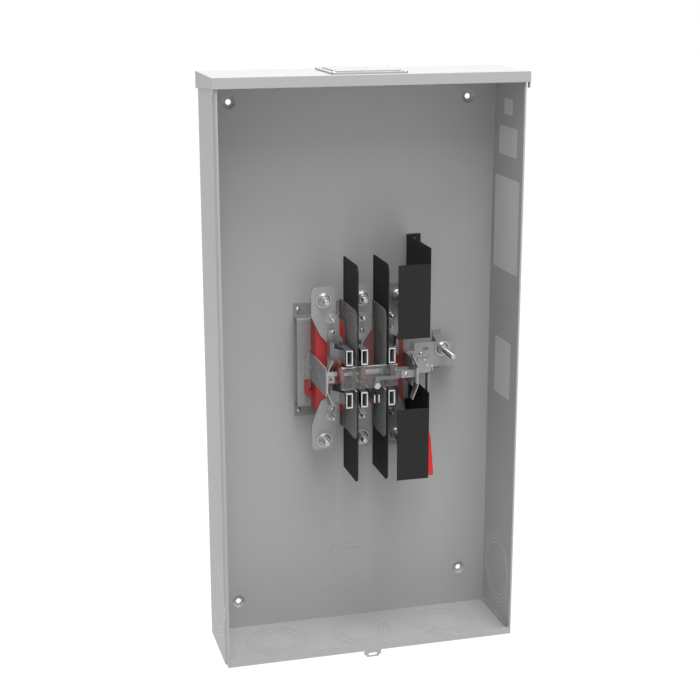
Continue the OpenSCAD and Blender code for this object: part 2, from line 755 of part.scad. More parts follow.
throat = jaw_front - 10;      // depth where the blades are gripped
grip_x = (jaw_gap + jaw_t) / 2; // middle of each side's sheet at the throat
lip_x = 4.6;                  // the same at the mouth
back_up_t = 0.8;              // thickness of the back-up leaves
tail_from = 15;               // where the jaw's tail widens, above the jaw's centre
tail_top = rivet_rise - jaw_rise + 4.5;

// One jaw about its blade: fixed side on the left, foot, and the spring leaf on the right.
module jaw_form() {
    mid = jaw_t / 2;
    box_from = 84;
    mouth_w = 2 * lip_x + jaw_t;
    // U bend: both sides flare out to lips at the mouth
    difference() {
        column(-jaw_h / 2, jaw_h) folded([[-lip_x, jaw_front], [-grip_x, throat], [-grip_x, bus_front + mid],
            [10.3, bus_front + mid], [grip_x + 1.2, throat - 8], [grip_x, throat], [lip_x, jaw_front]],
            jaw_t, 0.8);
        // the leaf is narrower where it runs between the channel's flanges
        for (side = [-1, 1]) translate([touch - grip_x + mid, -jaw_front - 1, side * (jaw_h / 2) - 2.4])
            cube([16, jaw_front - box_from + 3, 4.8]);
    }
    // flanges that close the mouth above and below
    for (side = [-1, 1]) translate([-mouth_w / 2, -jaw_front, side * (jaw_h - jaw_t) / 2 - mid])
        cube([mouth_w, jaw_front - box_from, jaw_t]);
    // tail that runs up to the rivet
    plate(bus_front, jaw_t) {
        translate([4.6, 0]) square([5, tail_top]);
        translate([4.6, tail_from]) square([14.4, tail_top - tail_from]);
    }
}

module jaw(i, side) color(tin) block() difference() {
    translate([phases[i][1], 0, side * jaw_rise]) mirror([0, 0, side > 0 ? 0 : 1])
        mirror([phases[i][2] > 0 ? 0 : 1, 0, 0]) jaw_form();
    rod(rivet_x(i), side * rivet_rise, bus_front - 1, bus_front + 10, rivet_r);
}

module line_jaw_a() { jaw(0, 1); }
module line_jaw_b() { jaw(1, 1); }
module line_jaw_c() { jaw(2, 1); }
module load_jaw_a() { jaw(0, -1); }
module load_jaw_b() { jaw(1, -1); }
module load_jaw_c() { jaw(2, -1); }

module jaw_rivets() color(steel) block() for (i = [0 : 2], side = [-1, 1]) {
    under = bus_front + jaw_t + (i == 1 ? 0 : back_up_t);
    face_head(rivet_x(i), side * rivet_rise, under, 4, 2);
    rod(rivet_x(i), side * rivet_rise, base_front - 12, under, rivet_r);
}

// Bowed back-up leaves that press the outer jaws' spring leaves; their feet lie under the rivets.
module jaw_springs() color(steel) block() for (i = [0, 2], side = [-1, 1]) difference() {
    mid = back_up_t / 2;
    foot = bus_front + jaw_t;
    translate([phases[i][1], 0, side * jaw_rise]) mirror([0, 0, side > 0 ? 0 : 1])
        mirror([phases[i][2] > 0 ? 0 : 1, 0, 0]) {
            difference() {
                column(-9, 27) folded([[lip_x - 0.4, 110], [10.5, 98], [22, 84],
                    [19.5, foot + mid], [12.5, foot + mid]],
                    back_up_t, 1.5);
                translate([-2, -jaw_front, 9]) cube([20, jaw_front - 90, 20]);
            }
            plate(foot, back_up_t) translate([12.5, tail_from]) square([6.5, tail_top - tail_from]);
            plate(foot, back_up_t) translate([6, tail_top - 10]) square([8, 10]);
        }
    rod(rivet_x(i), side * rivet_rise, bus_front - 1, bus_front + 10, rivet_r);
}

// --- the neutral ---

neutral_screw_x = 113;
neutral_screw_z = [6, -4];
neutral_foot_w = 14;           // width of the foot under the neutral jaw
bond_slot = [118, 122, 15];    // ends and height of the bonding slot
bond_r = 2.6;
end_low = 16;                  // the terminal end reaches this far below the bar's middle
end_high = 26;                 // and this far above it

// Flat bar behind the bases, with a foot for the neutral jaw and a wide terminal end.
module neutral_bar() color(tin) block() difference() {
    plate(neutral_back, bus_t) {
        translate([neutral_jaw_x - neutral_foot_w / 2, -neutral_down])
            square([fold_x + 8 - neutral_jaw_x + neutral_foot_w / 2, neutral_up + neutral_down]);
        translate([neutral_jaw_x - neutral_foot_w / 2, -jaw_rise - 7]) square([neutral_foot_w, jaw_rise]);
        translate([fold_x + 6, -end_low])
            square([neutral_end - fold_x - 6 - corner_r / 2, end_low + end_high]);
        translate([fold_x + 6, corner_r / 2 - end_low])
            square([neutral_end - fold_x - 6, end_low + end_high - corner_r]);
        for (z = [corner_r / 2 - end_low, end_high - corner_r / 2])
            translate([neutral_end - corner_r / 2, z]) circle(corner_r / 2);
    }
    rod(neutral_stud_x, neutral_stud_z, neutral_back - 1, neutral_front + 1, stud_r + bolt_clear);
    for (i = [0, 1]) rod(bond_slot[i], bond_slot[2], neutral_back - 1, neutral_front + 1, bond_r);
    translate([bond_slot[0], -neutral_front - 1, bond_slot[2] - bond_r])
        cube([bond_slot[1] - bond_slot[0], bus_t + 2, 2 * bond_r]);
    rod(neutral_jaw_x, -jaw_rise, pan_rise - 1, pan_rise + 8, 2.5);
    for (z = neutral_screw_z) rod(neutral_screw_x, z, neutral_back - 1, neutral_front + 1, 2.15);
}

module neutral_jaw() color(tin) block() translate([neutral_jaw_x, 0, -jaw_rise]) {
    mid = jaw_t / 2;
    column(-6, 12) {
        for (s = [0, 1]) mirror([s, 0]) folded([[-eps, base_front + mid], [5, base_front + mid],
            [jaw_gap / 2 + mid, throat], [3.6, jaw_front]], jaw_t, 0.8);
    }
    rod(0, 0, pan_rise + bus_t + 0.1, base_front, stem_r);
    rod(0, 0, pan_rise + 0.1, pan_rise + bus_t + 1, 2.4);
}

module neutral_stand() color(zinc) block() difference() {
    mid = pan_t / 2;
    top = neutral_back - mid;
    slab(neutral_stud_x - 9, 14) folded([[sheet + mid, 40], [sheet + mid, 30], [top, 25], [top, -11],
        [sheet + mid, -15], [sheet + mid, -26]], pan_t, 1);
    rod(neutral_stud_x, neutral_stud_z, neutral_back - 10, neutral_front, stud_r + bolt_clear);
}

// --- barriers and clear shields ---

notch_half = 19.5;
notch_from = jaw_front - 11.5;
shaft_hole_r = 8;
back_corner_r = 4;

// Depth and height outline of a flat barrier: rounded corners, shaft hole, shield notch.
module barrier_outline(half_h, front) {
    difference() {
        translate([0, wing_rise]) union() {
            translate([barrier_back + back_corner_r, -half_h])
                square([front - barrier_back - back_corner_r - corner_r, 2 * half_h]);
            translate([barrier_back, back_corner_r - half_h])
                square([corner_r + back_corner_r, 2 * (half_h - back_corner_r)]);
            translate([front - 2 * corner_r, corner_r - half_h])
                square([2 * corner_r, 2 * (half_h - corner_r)]);
            for (side = [-1, 1]) {
                translate([barrier_back + back_corner_r, side * (half_h - back_corner_r)])
                    circle(back_corner_r);
                translate([front - corner_r, side * (half_h - corner_r)]) circle(corner_r);
            }
        }
        translate([shaft_d, 0]) circle(shaft_hole_r);
        translate([notch_from, -notch_half]) square([front, 2 * notch_half]);
    }
}

module barrier_left() color(fibre) block() slab(barrier_left_x - barrier_t / 2, barrier_t)
    barrier_outline(barrier_half_h, barrier_front);
module barrier_right() color(fibre) block() slab(barrier_right_x - barrier_t / 2, barrier_t)
    barrier_outline(barrier_half_h, barrier_front);
module wing_left() color(clear) block() slab(wings[0] - barrier_t / 2, barrier_t)
    barrier_outline(wing_half_h, jaw_front);
module wing_right() color(clear) block() slab(wings[1] - barrier_t / 2, barrier_t)
    barrier_outline(wing_half_h, jaw_front);

fold_t = 1.6;
fold_foot = 23;
fold_screw_rise = 30;

module fold_barrier(z) {
    mid = fold_t / 2;
    difference() {
        column(z, fold_web_h) bent([[fold_x + fold_foot, sheet + mid], [fold_x, sheet + mid],
            [fold_x, fold_front], [fold_x + mid - fold_flange_w, fold_front]], fold_t, 0.8);
        translate([fold_x - fold_flange_w - 1, -fold_front - 2, z + fold_flange_h])
            cube([fold_flange_w + mid - fold_t + 1, 4, fold_web_h]);
        rod(fold_x + 12, z + fold_screw_rise, sheet - 1, sheet + 3, 2.5);
        for (dz = [0, 6]) rod(fold_x + 12, z + fold_web_h - 14 + dz, sheet - 1, sheet + 3, 2.5);
        translate([fold_x + 9.5, -sheet - 3, z + fold_web_h - 14]) cube([5, 4, 6]);
    }
}

module barrier_upper_fold() color(fibre) block() fold_barrier(fold_upper);
module barrier_lower_fold() color(fibre) block() fold_barrier(fold_upper - fold_pitch);

shield_d = jaw_front - 10;
shield_t = 2.5;
strap_d = shield_d + shield_t + 1.5;
shield_half_h = 18;
shield_half_w = 46;
shield_lip_w = 20;
shield_bolt_x = 11;
shield_bolt_z = -13.9;

module center_shield() color(clear) block() difference() {
    union() {
        plate(shield_d, shield_t) translate([-shield_half_w, -shield_half_h])
            square(2 * [shield_half_w, shield_half_h]);
        for (z = [-shield_half_h, shield_half_h - 1.5])
            translate([-shield_half_w, -shield_d - 6, z]) cube([shield_lip_w, 6, 1.5]);
        rod(shield_bolt_x, shield_bolt_z, shield_d, strap_d, 5);
    }
    rod(shield_bolt_x, shield_bolt_z, shield_d - 1, strap_d + 1, 2.7);
}

// --- meter support ---

tab_low = -4;
tab_h = 12;
bracket_front = 129;
bracket_half_h = 22.6;
bracket_screw_d = 33;
tab_hole_x = 8;
spring_rivet_d = 98;
spring_rivet_r = 1.8;

// Side plate of a support bracket in depth and height: shaft bearing, spring slot and screw hole.
module bracket_outline(back, front_half_h) {
    difference() {
        union() {
            translate([back, -bracket_half_h]) square([106 - back, 2 * bracket_half_h]);
            translate([back, -front_half_h]) square([bracket_front - back, 2 * front_half_h]);
        }
        translate([shaft_d, 0]) circle(shaft_r + 0.06);
        translate([109, -4]) square([5, 15]);
        translate([111.5, 11]) circle(2.5);
        translate([111.5, -4]) circle(2.5);
        translate([bracket_screw_d, 0]) circle(2.2);
        translate([spring_rivet_d, 0]) circle(spring_rivet_r);
    }
}

left_plate_x = -base_half_w - pan_t;
right_plate_x = base_half_w;
strap_end_r = 6;
strap_step_x = 41;
tab_d = strap_d + pan_t;      // both bent tabs lie in front of the strap

module support_bracket_left() color(zinc) block() {
    slab(left_plate_x, pan_t) bracket_outline(pan_rise, bracket_half_h);
    // foot on the pan, and a pressed nub that locates the base
    plate(pan_rise, pan_t) polygon([[left_plate_x + 1, 22], [left_plate_x - 5, 22], [left_plate_x - 9, 12],
        [left_plate_x - 9, -bracket_half_h], [left_plate_x + 1, -bracket_half_h]]);
    axle(left_plate_x - 0.8, left_plate_x + 1, 48, 0, 1.6);
    plate(tab_d, pan_t) difference() {
        translate([left_plate_x + pan_t - eps, tab_low]) square([14, tab_h]);
        translate([left_plate_x + pan_t + tab_hole_x, tab_low + tab_h / 2]) circle(2.2);
    }
}

module support_bracket_right() color(zinc) block() {
    slab(right_plate_x, pan_t) bracket_outline(pan_rise + 6, 13);
    plate(tab_d, pan_t) difference() {
        translate([right_plate_x - 22, tab_low]) square([22 + eps, tab_h]);
        translate([right_plate_x - 22 + tab_hole_x, tab_low + tab_h / 2]) circle(2.2);
    }
    // ear towards the lever, with two screws and a lip along its top
    plate(tab_d, pan_t) difference() {
        union() {
            translate([right_plate_x + pan_t - eps, 0]) square([5, tab_low + tab_h]);
            translate([right_plate_x + pan_t + 2, 2]) square([ear_w_right, 30]);
        }
        for (p = ear_holes) translate(p) circle(1.6);
    }
    translate([right_plate_x - 1.3, -tab_d - pan_t - ear_lip, 32 - pan_t])
        cube([ear_w_right + pan_t + 3.3, pan_t + ear_lip, pan_t]);
}

ear_lip = 3;
ear_w_right = 22;
ear_holes = [[right_plate_x + 16.6, 22.2], [right_plate_x + 20.8, 12.1]];

// Bowed spring that the meter's rim rests against, about the plate face it lies on.
module support_spring_form() {
    difference() {
        union() {
            plate(115, 14) folded([[9.5, 34], [0.75, 16], [0.75, -16], [9.5, -38]], 1.5, 2);
            translate([0, -115.5, -9]) cube([1.5, 24, 22]);
        }
        translate([-1, -tab_d - pan_t - touch, tab_low - touch])
            cube([5, pan_t + 2 * touch, tab_h + 2 * touch]);
        translate([-1, -114.5, -4.5]) cube([5, 6, 16]);
        axle(-1, 5, spring_rivet_d, 0, spring_rivet_r);
    }
}

module support_spring_left() color(zinc) block()
    translate([left_plate_x + pan_t, 0, 0]) support_spring_form();

module support_spring_right() color(zinc) block()
    translate([right_plate_x + pan_t + 1.5, 0, 0]) mirror([1, 0, 0]) support_spring_form();

module shield_strap() color(zinc) block() plate(strap_d, pan_t) difference() {
    union() {
        translate([shield_bolt_x, shield_bolt_z]) circle(strap_end_r);
        translate([shield_bolt_x - 2.5, shield_bolt_z]) square([8, 0.5 - shield_bolt_z]);
        translate([shield_bolt_x - 2.5, -5.5]) square([strap_step_x + 8.5 - shield_bolt_x, 6]);
        translate([strap_step_x, -5.5]) square([6, tab_low + tab_h + 5.5]);
        translate([strap_step_x, tab_low]) square([right_plate_x - 6.5 - strap_step_x, tab_h]);
    }
    translate([shield_bolt_x, shield_bolt_z]) circle(2.7);
    translate([right_plate_x - 22 + tab_hole_x, tab_low + tab_h / 2]) circle(2.2);
}

module shield_bolt() color(steel) block() {
    hex_rod(shield_bolt_x, shield_bolt_z, strap_d + pan_t, strap_d + pan_t + 4, 9);
    rod(shield_bolt_x, shield_bolt_z, shield_d - 4, strap_d + pan_t, 2.5);
    nut(shield_bolt_x, shield_bolt_z, shield_d - 4, 8, 4, 2.46);
}

// A pan head screw across a bracket's side plate whose outer face is at x, its head towards way.
module side_screw(x, way, d, head_r, head_h, shank_r, reach) {
    translate([x, -d, 0]) rotate([0, way * 90, 0]) pan_head(head_r, head_h);
    axle(way > 0 ? x - reach : x, way > 0 ? x : x + reach, d, 0, shank_r);
}

module support_screws() color(steel) block() {
    for (way = [-1, 1]) {
        x = way * (base_half_w + pan_t);
        // bracket to base, and the rivet that holds the bowed spring
        side_screw(x, way, bracket_screw_d, 4, 2.2, 2.1, pan_t);
        side_screw(way < 0 ? x : x + 1.5, way, spring_rivet_d, 2.8, 1.2, spring_rivet_r, pan_t + 1.5);
    }
    // two screws of the ear, one of the strap and two of the neutral bar
    for (p = ear_holes) face_head(p[0], p[1], tab_d + pan_t, 2.8, 1.8);
    for (p = ear_holes) rod(p[0], p[1], tab_d - 3, tab_d + pan_t, 1.5);
    face_head(right_plate_x - 22 + tab_hole_x, tab_low + tab_h / 2, tab_d + pan_t, 3.2, 1.8);
    rod(right_plate_x - 22 + tab_hole_x, tab_low + tab_h / 2, strap_d - 1, tab_d + pan_t, 2.1);
    for (z = neutral_screw_z) face_head(neutral_screw_x, z, neutral_front, 4, 2.2);
    for (z = neutral_screw_z) rod(neutral_screw_x, z, neutral_back - 4, neutral_front, 2.1);
}

// --- bypass mechanism ---

hex_af = 8;
cam_t = 8;
cam_gap = 0.4;
nose_r = 2.5;
bridge_t = 2.5;
carrier_t = 3.5;
bridge_back = bus_front + bridge_lift + bridge_travel;
nose_tip = bridge_back + bridge_t + carrier_t + 1.2;
cam_low = shaft_d - nose_tip - cam_gap;
left_clip_x = left_plate_x + pan_t + 1.5 + touch;    // right of the spring's flat
clip_t = 1.6;
shaft_left = left_plate_x;
shaft_right = lever_x + lever_t + 3;
bearing_end = right_plate_x + pan_t + 1;

// Radius of the cam at an angle that reaches the bridge after the lever has swung that far.
function cam_r(a) = a <= lever_swing ? cam_low + bridge_travel * a / lever_swing
    : a <= lever_swing + 20 ? cam_low + bridge_travel
    : cam_low + bridge_travel * (340 - a) / (340 - lever_swing - 20);

module cam(i) color(red_base) block() difference() {
    step = 5;
    slab(bridge_x(i) - cam_t / 2, cam_t) translate([shaft_d, 0]) polygon([for (a = [0 : step : 360 - step])
        (a > 340 ? cam_low : cam_r(a)) * [-cos(a), sin(a)]]);
    translate([bridge_x(i) - cam_t, -shaft_d, 0]) rotate([0, 90, 0])
        cylinder(h = 2 * cam_t, r = (hex_af + 0.1) / sqrt(3), $fn = 6);
}

module cam_a() { cam(0); }
module cam_b() { cam(1); }
module cam_c() { cam(2); }

module shaft_hex(x0, x1) {
    translate([x0, -shaft_d, 0]) rotate([0, 90, 0]) cylinder(h = x1 - x0, r = hex_af / sqrt(3), $fn = 6);
}

module cross_shaft() color(steel) block() {
    axle(shaft_left, left_clip_x + clip_t + 0.4, shaft_d, 0, shaft_r);
    shaft_hex(left_clip_x + clip_t + 0.4, right_plate_x - 1);
    axle(right_plate_x - 1, bearing_end, shaft_d, 0, shaft_r);
    shaft_hex(bearing_end, shaft_right);
}

module shaft_clips() color(steel) block() {
    difference() {
        axle(left_clip_x, left_clip_x + clip_t, shaft_d, 0, shaft_r + 3);
        axle(left_clip_x - 1, left_clip_x + 3, shaft_d, 0, shaft_r);
    }
    difference() {
        axle(shaft_right - 2.2, shaft_right - 0.6, shaft_d, 0, shaft_r + 3);
        shaft_hex(shaft_right - 4, shaft_right + 1);
    }
}

grip_top = [1.5, -lever_len + 61];      // middle of the grip's upper round end, from the shaft
grip_low = [16, -lever_len + 7.7];      // and of its lower one
grip_top_r = 7;
grip_low_r = 7.7;
tongue_w = 8;                           // width of the arm inside the grip
tongue_len = 38;
grip_way = direction(grip_top, grip_low);

// The arm's outline: eye round the shaft, straight arm, and a tongue along the grip.
module arm_outline(gap) {
    side = left(grip_way) * (tongue_w / 2 + gap);
    tip = grip_top + grip_way * (tongue_len + gap);
    polygon([[-6 - gap, 0], [-6 - gap, grip_top[1]], grip_top - side, tip - side, tip + side,
        grip_top + side, [6 + gap, grip_top[1] + 8], [6 + gap, 0]]);
}

// Stamped steel arm with a boss that fits the shaft's hexagon.
module bypass_lever() color(zinc) block() difference() {
    union() {
        slab(lever_x + (lever_t - arm_t) / 2, arm_t) translate([shaft_d, 0]) {
            circle(lever_hub_r);
            arm_outline(0);
        }
        axle(lever_x - 1, lever_x + lever_t, shaft_d, 0, lever_hub_r - 2.5);
    }
    translate([lever_x - 5, -shaft_d, 0]) rotate([0, 90, 0])
        cylinder(h = 2 * lever_t, r = (hex_af + 0.1) / sqrt(3), $fn = 6);
}

// Moulded grip pushed over the arm's tongue, leaning out towards the front.
module lever_grip() color(red_lever) block() difference() {
    slab(lever_x, lever_t) translate([shaft_d, 0]) {
        n = left(grip_way);
        translate(grip_top) circle(grip_top_r);
        translate(grip_low) circle(grip_low_r);
        polygon([grip_top - n * grip_top_r, grip_low - n * grip_low_r,
            grip_low + n * grip_low_r, grip_top + n * grip_top_r]);
    }
    slab(lever_x + (lever_t - arm_t) / 2 - 0.05, arm_t + 0.1) translate([shaft_d, 0]) arm_outline(0.05);
}

// Bridge: contact strip, moulded carrier with a nose for the cam, and a guide stem.
module bridge(i) color([0.80, 0.42, 0.25]) block() translate([bridge_x(i), 0, 0]) {
    translate([-bridge_half_w, -bridge_back - bridge_t, -bridge_half_h])
        cube([2 * bridge_half_w, bridge_t, 2 * bridge_half_h]);
    for (side = [-1, 1]) translate([0, -bridge_back - bridge_t + eps, side * 15])
        rotate([-90, 0, 0]) cylinder(h = bridge_t + bridge_lift / 2, r = 3.5);
    translate([-bridge_half_w + 1, -bridge_back - bridge_t - carrier_t, -9])
        cube([2 * bridge_half_w - 2, carrier_t + eps, 18]);
    axle(-bridge_half_w + 1, bridge_half_w - 1, nose_tip - nose_r, 0, nose_r);
    rod(0, 0, bridge_back - 24, bridge_back + eps, stem_r);
}

module bridge_a() { bridge(0); }
module bridge_b() { bridge(1); }
module bridge_c() { bridge(2); }

// Coil springs that push the bridges off the bus bars.
coil_turns = 4.5;
coil_r = 5.2;
wire_r = 0.5;
coil_steps = 12;

module coil(length) {
    sides = 6;
    count = coil_turns * coil_steps;
    function ring(k) = let (a = 360 * k / coil_steps, z = wire_r + (length - 2 * wire_r) * k / count)
        [for (j = [0 : sides - 1]) let (b = 360 * j / sides, r = coil_r + wire_r * cos(b))
            [r * cos(a), r * sin(a), z + wire_r * sin(b)]];
    polyhedron([for (k = [0 : count]) each ring(k)],
        concat([[for (j = [0 : sides - 1]) j]],
            [for (k = [0 : count - 1], j = [0 : sides - 1]) let (n = (j + 1) % sides)
                [k * sides + j, (k + 1) * sides + j, (k + 1) * sides + n, k * sides + n]],
            [[for (j = [sides - 1 : -1 : 0]) count * sides + j]]));
}

module bridge_springs() color(steel) block() for (i = [0 : 2])
    translate([bridge_x(i), -(base_front - spring_well + 0.1), 0]) rotate([90, 0, 0])
        coil(bridge_back - base_front + spring_well - 0.4);

box_shell();
bottom_end();
top_hood();
hub_plate();
hub_gasket();
hub_screws();
sealing_hasp();
mounting_pan();
panel_screws();
base_a();
base_b();
base_c();
base_screws();
line_bus_a();
line_bus_b();
line_bus_c();
load_bus_a();
load_bus_b();
load_bus_c();
line_jaw_a();
line_jaw_b();
line_jaw_c();
load_jaw_a();
load_jaw_b();
load_jaw_c();
jaw_springs();
jaw_rivets();
terminal_studs();
terminal_washers();
terminal_nuts();
bus_bolts();
bus_nuts();
neutral_bar();
neutral_jaw();
neutral_stand();
barrier_left();
barrier_right();
barrier_upper_fold();
barrier_lower_fold();
wing_left();
wing_right();
center_shield();
shield_strap();
shield_bolt();
support_bracket_left();
support_bracket_right();
support_spring_left();
support_spring_right();
support_screws();
cross_shaft();
cam_a();
cam_b();
cam_c();
bypass_lever();
lever_grip();
shaft_clips();
bridge_a();
bridge_b();
bridge_c();
bridge_springs();
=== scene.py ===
# %% [markdown]
# # A meter socket enclosure with its cover off
# This lesson dresses a finished CAD assembly for a picture. The real object is a steel wall box
# for an electric meter: a folded shell, a hood that sheds rain, and in the middle three red
# insulating bases that carry bus bars and spring jaws. The CAD model fixes every size and place.
# What is left to do here is what the maker's paint shop, plating shop and screw supplier do:
# finishes, labels, screw recesses, springs and threads. The CAD shapes are never touched, so a
# new finish can't move a hole.

# %% Load the CAD assembly
import math
import json

import bmesh
import bpy
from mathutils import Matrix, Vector


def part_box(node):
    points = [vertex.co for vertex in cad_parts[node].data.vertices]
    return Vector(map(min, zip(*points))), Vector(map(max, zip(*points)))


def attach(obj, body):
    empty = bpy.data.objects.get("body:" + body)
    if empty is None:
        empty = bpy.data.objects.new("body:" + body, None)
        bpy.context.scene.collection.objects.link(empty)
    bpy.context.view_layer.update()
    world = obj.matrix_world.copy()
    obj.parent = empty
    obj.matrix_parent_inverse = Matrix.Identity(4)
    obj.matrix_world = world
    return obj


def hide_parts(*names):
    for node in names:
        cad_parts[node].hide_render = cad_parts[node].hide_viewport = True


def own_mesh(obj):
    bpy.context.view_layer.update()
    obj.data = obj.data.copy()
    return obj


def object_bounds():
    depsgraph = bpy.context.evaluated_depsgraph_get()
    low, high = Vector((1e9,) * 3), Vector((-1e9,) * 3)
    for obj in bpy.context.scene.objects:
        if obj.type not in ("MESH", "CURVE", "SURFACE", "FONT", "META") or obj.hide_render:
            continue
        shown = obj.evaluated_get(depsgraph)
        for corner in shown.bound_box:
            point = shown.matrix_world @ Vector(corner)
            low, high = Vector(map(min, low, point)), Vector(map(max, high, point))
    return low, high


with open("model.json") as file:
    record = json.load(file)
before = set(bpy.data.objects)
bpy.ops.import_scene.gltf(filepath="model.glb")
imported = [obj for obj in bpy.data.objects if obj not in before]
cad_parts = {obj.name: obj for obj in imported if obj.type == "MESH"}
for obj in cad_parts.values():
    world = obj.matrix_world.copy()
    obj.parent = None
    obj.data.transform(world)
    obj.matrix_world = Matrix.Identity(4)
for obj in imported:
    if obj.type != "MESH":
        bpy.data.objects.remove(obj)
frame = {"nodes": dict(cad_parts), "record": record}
nodes, record = frame["nodes"], frame["record"]
cad_low, cad_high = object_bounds()
MM = 0.001
print(len(nodes), "pieces,", [round(v, 3) for v in cad_high - cad_low], "m over all")

# %% [markdown]
# ## Landmarks
# Positions come from the CAD pieces and not from typed numbers. The bypass shaft runs across the
# middle of the meter block, so its box gives the block's height. Depth is measured forwards from
# the outside of the back panel, as a fitter with a rule would do.

# %% Heights and depths to measure from
SHEET = 1.6 * MM
shaft_low, shaft_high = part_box("cross_shaft")
block_z = (shaft_low.z + shaft_high.z) / 2
panel_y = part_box("mounting_pan")[1].y + SHEET
box_low, box_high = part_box("box_shell")
print("block centre", round(block_z - box_low.z, 4), "m above the bottom edge")


def depth(mm):
    """The y of a plane so many millimetres in front of the back panel's outside."""
    return panel_y - mm * MM

# %% [markdown]
# ## Shader sums written as Python
# A finish is a small sum: colour plus mottling, minus dirt. Wiring Math nodes by hand hides that
# sum. It could be drawn in the node editor, but a class that wraps one socket and overloads
# plus, minus and times lets the sum be read as a line of Python, and each operator adds its node.

# %% A socket that can be added and multiplied
class Value:
    """One output of a shader node; arithmetic on it adds Math nodes to the same finish."""

    def __init__(self, finish, socket):
        self.finish, self.socket = finish, socket

    def math(self, operation, first, second=0.0, third=0.0):
        made = self.finish.node(
            "ShaderNodeMath", {"operation": operation}, {0: first, 1: second, 2: third}
        )
        return made["Value"]

    def __add__(self, other):
        return self.math("ADD", self, other)

    def __sub__(self, other):
        return self.math("SUBTRACT", self, other)

    def __rsub__(self, other):
        return self.math("SUBTRACT", other, self)

    def __mul__(self, other):
        return self.math("MULTIPLY", self, other)

    __radd__ = __add__
    __rmul__ = __mul__

    def above(self, edge, softness):
        """0 below the edge, 1 above it, with a soft step of the given width."""
        return self.math("MULTIPLY_ADD", self, 1 / softness, -edge / softness).clamped()

    def clamped(self):
        made = self.finish.node("ShaderNodeClamp", {}, {"Value": self, "Min": 0.0, "Max": 1.0})
        return made["Result"]

    def part(self, axis):
        """The x, y or z of a vector."""
        return self.finish.node("ShaderNodeSeparateXYZ", {}, {"Vector": self})[axis]


# %% A finish, and the one method that makes its nodes
class Finish:
    """One node tree. node() makes any node: its type, its settings, then its sockets."""

    def __init__(self, name, owner=None):
        self.material = owner or bpy.data.materials.new(name)
        self.material.use_nodes = True
        self.tree = self.material.node_tree
        self.tree.nodes.clear()
        self.place = self.node("ShaderNodeTexCoord")["Object"]

    def node(self, kind, settings=None, sockets=None):
        made = self.tree.nodes.new(kind)
        for name, setting in (settings or {}).items():
            setattr(made, name, setting)
        for name, value in (sockets or {}).items():
            socket = made.inputs[name] if isinstance(name, int) else next(
                s for s in made.inputs if name in (s.identifier, s.name)
            )
            if isinstance(value, Value):
                self.tree.links.new(value.socket, socket)
            else:
                socket.default_value = value
        outputs = {o.name: Value(self, o) for o in reversed(made.outputs)}
        outputs.update({o.identifier: Value(self, o) for o in made.outputs})
        return outputs

    def stretched(self, x, y, z):
        """The object's own coordinates, scaled along each axis."""
        made = self.node("ShaderNodeMapping", {}, {"Vector": self.place, "Scale": (x, y, z)})
        return made["Vector"]

    def noise(self, per_metre, detail=3.0, where=None, rough=0.55):
        sockets = {"Vector": where or self.place, "Scale": per_metre, "Detail": detail}
        sockets["Roughness"] = rough
        return self.node("ShaderNodeTexNoise", {}, sockets)["Fac"]

    def cells(self, per_metre, output="Color", feature="F1"):
        sockets = {"Vector": self.place, "Scale": per_metre}
        return self.node("ShaderNodeTexVoronoi", {"feature": feature}, sockets)[output]

    def mix(self, factor, a, b):
        """Two colours, blended; a plain colour is three numbers."""
        sockets = {"Factor_Float": factor}
        for name, colour in (("A_Color", a), ("B_Color", b)):
            sockets[name] = colour if isinstance(colour, Value) else (*colour, 1)
        made = self.node("ShaderNodeMix", {"data_type": "RGBA"}, sockets)
        return made["Result_Color"]

    def relief(self, height, depth, soften=0.0004):
        """A bumped normal over edges that a soft press brake has rounded a little."""
        rounded = self.node("ShaderNodeBevel", {"samples": 4}, {"Radius": soften})["Normal"]
        sockets = {"Height": height, "Distance": depth, "Strength": 1.0, "Normal": rounded}
        return self.node("ShaderNodeBump", {}, sockets)["Normal"]

    def surface(self, **sockets):
        """The shader itself; words stand for the sockets' own names."""
        named = {word.replace("_", " ").title(): value for word, value in sockets.items()}
        named = {("IOR" if word == "Ior" else word): value for word, value in named.items()}
        shader = self.node("ShaderNodeBsdfPrincipled", {}, named)["BSDF"]
        self.node("ShaderNodeOutputMaterial", {}, {"Surface": shader})
        return self.material


def greys(low, high, tint=(1.0, 1.0, 1.0)):
    """Two greys of one tint, as two colours."""
    return tuple(low * t for t in tint), tuple(high * t for t in tint)


print("finish tools ready")

# %% [markdown]
# ## Powder paint
# The box, hood, bottom and hub plate are sprayed with light grey powder and baked. Powder flows
# into a very fine orange peel, about a millimetre across and a hundredth deep, so its gloss is
# soft and a little uneven. A flat grey would do from far away, but up close the peel is what
# makes it read as paint. Two noises give it: a slow one for the shade, a fast one for the peel.
# A third, long in Z, is the faint drift of the spray gun's passes. Rings of colour follow the
# grooves of the knockouts: pale in patches on the sides, and on the back a painted lighter
# colour that cancels the shade in the grooves.

# %% Powder paint
SIDE_KO_DEPTH, SIDE_KO_Z = 69, 88
SIDE_KO_RADII = (44.85, 51.2, 57.55)
BACK_KO_Z = 90
BACK_KO_RADII = (36.9, 44.85, 51.2)
BACK_PANEL = 3
RING_LINE = 0.7 * MM
SIDE_RING_PALE, GROOVE_LIGHT_PAINT = (0.80, 0.80, 0.80), (0.54, 0.54, 0.54)


def ring_lines(radius, radii):
    """1 along each ring; the radii are in millimetres."""
    line = 0.0
    for ring in radii:
        off = radius.math("ABSOLUTE", radius - ring * MM)
        line = line + (1 - off.above(RING_LINE * 0.6, RING_LINE * 0.4))
    return line


def painted_groove_light(paint):
    """1 along the rings of the back knockout, painted lighter to cancel the shade in their
    grooves.
    """
    x, y, z = (paint.place.part(axis) for axis in "XYZ")
    panel = y.above(depth(BACK_PANEL), 0.2 * MM)
    up = z - (box_low.z + BACK_KO_Z * MM)
    radius = x.math("SQRT", x * x + up * up)
    return (ring_lines(radius, BACK_KO_RADII) * panel).clamped()


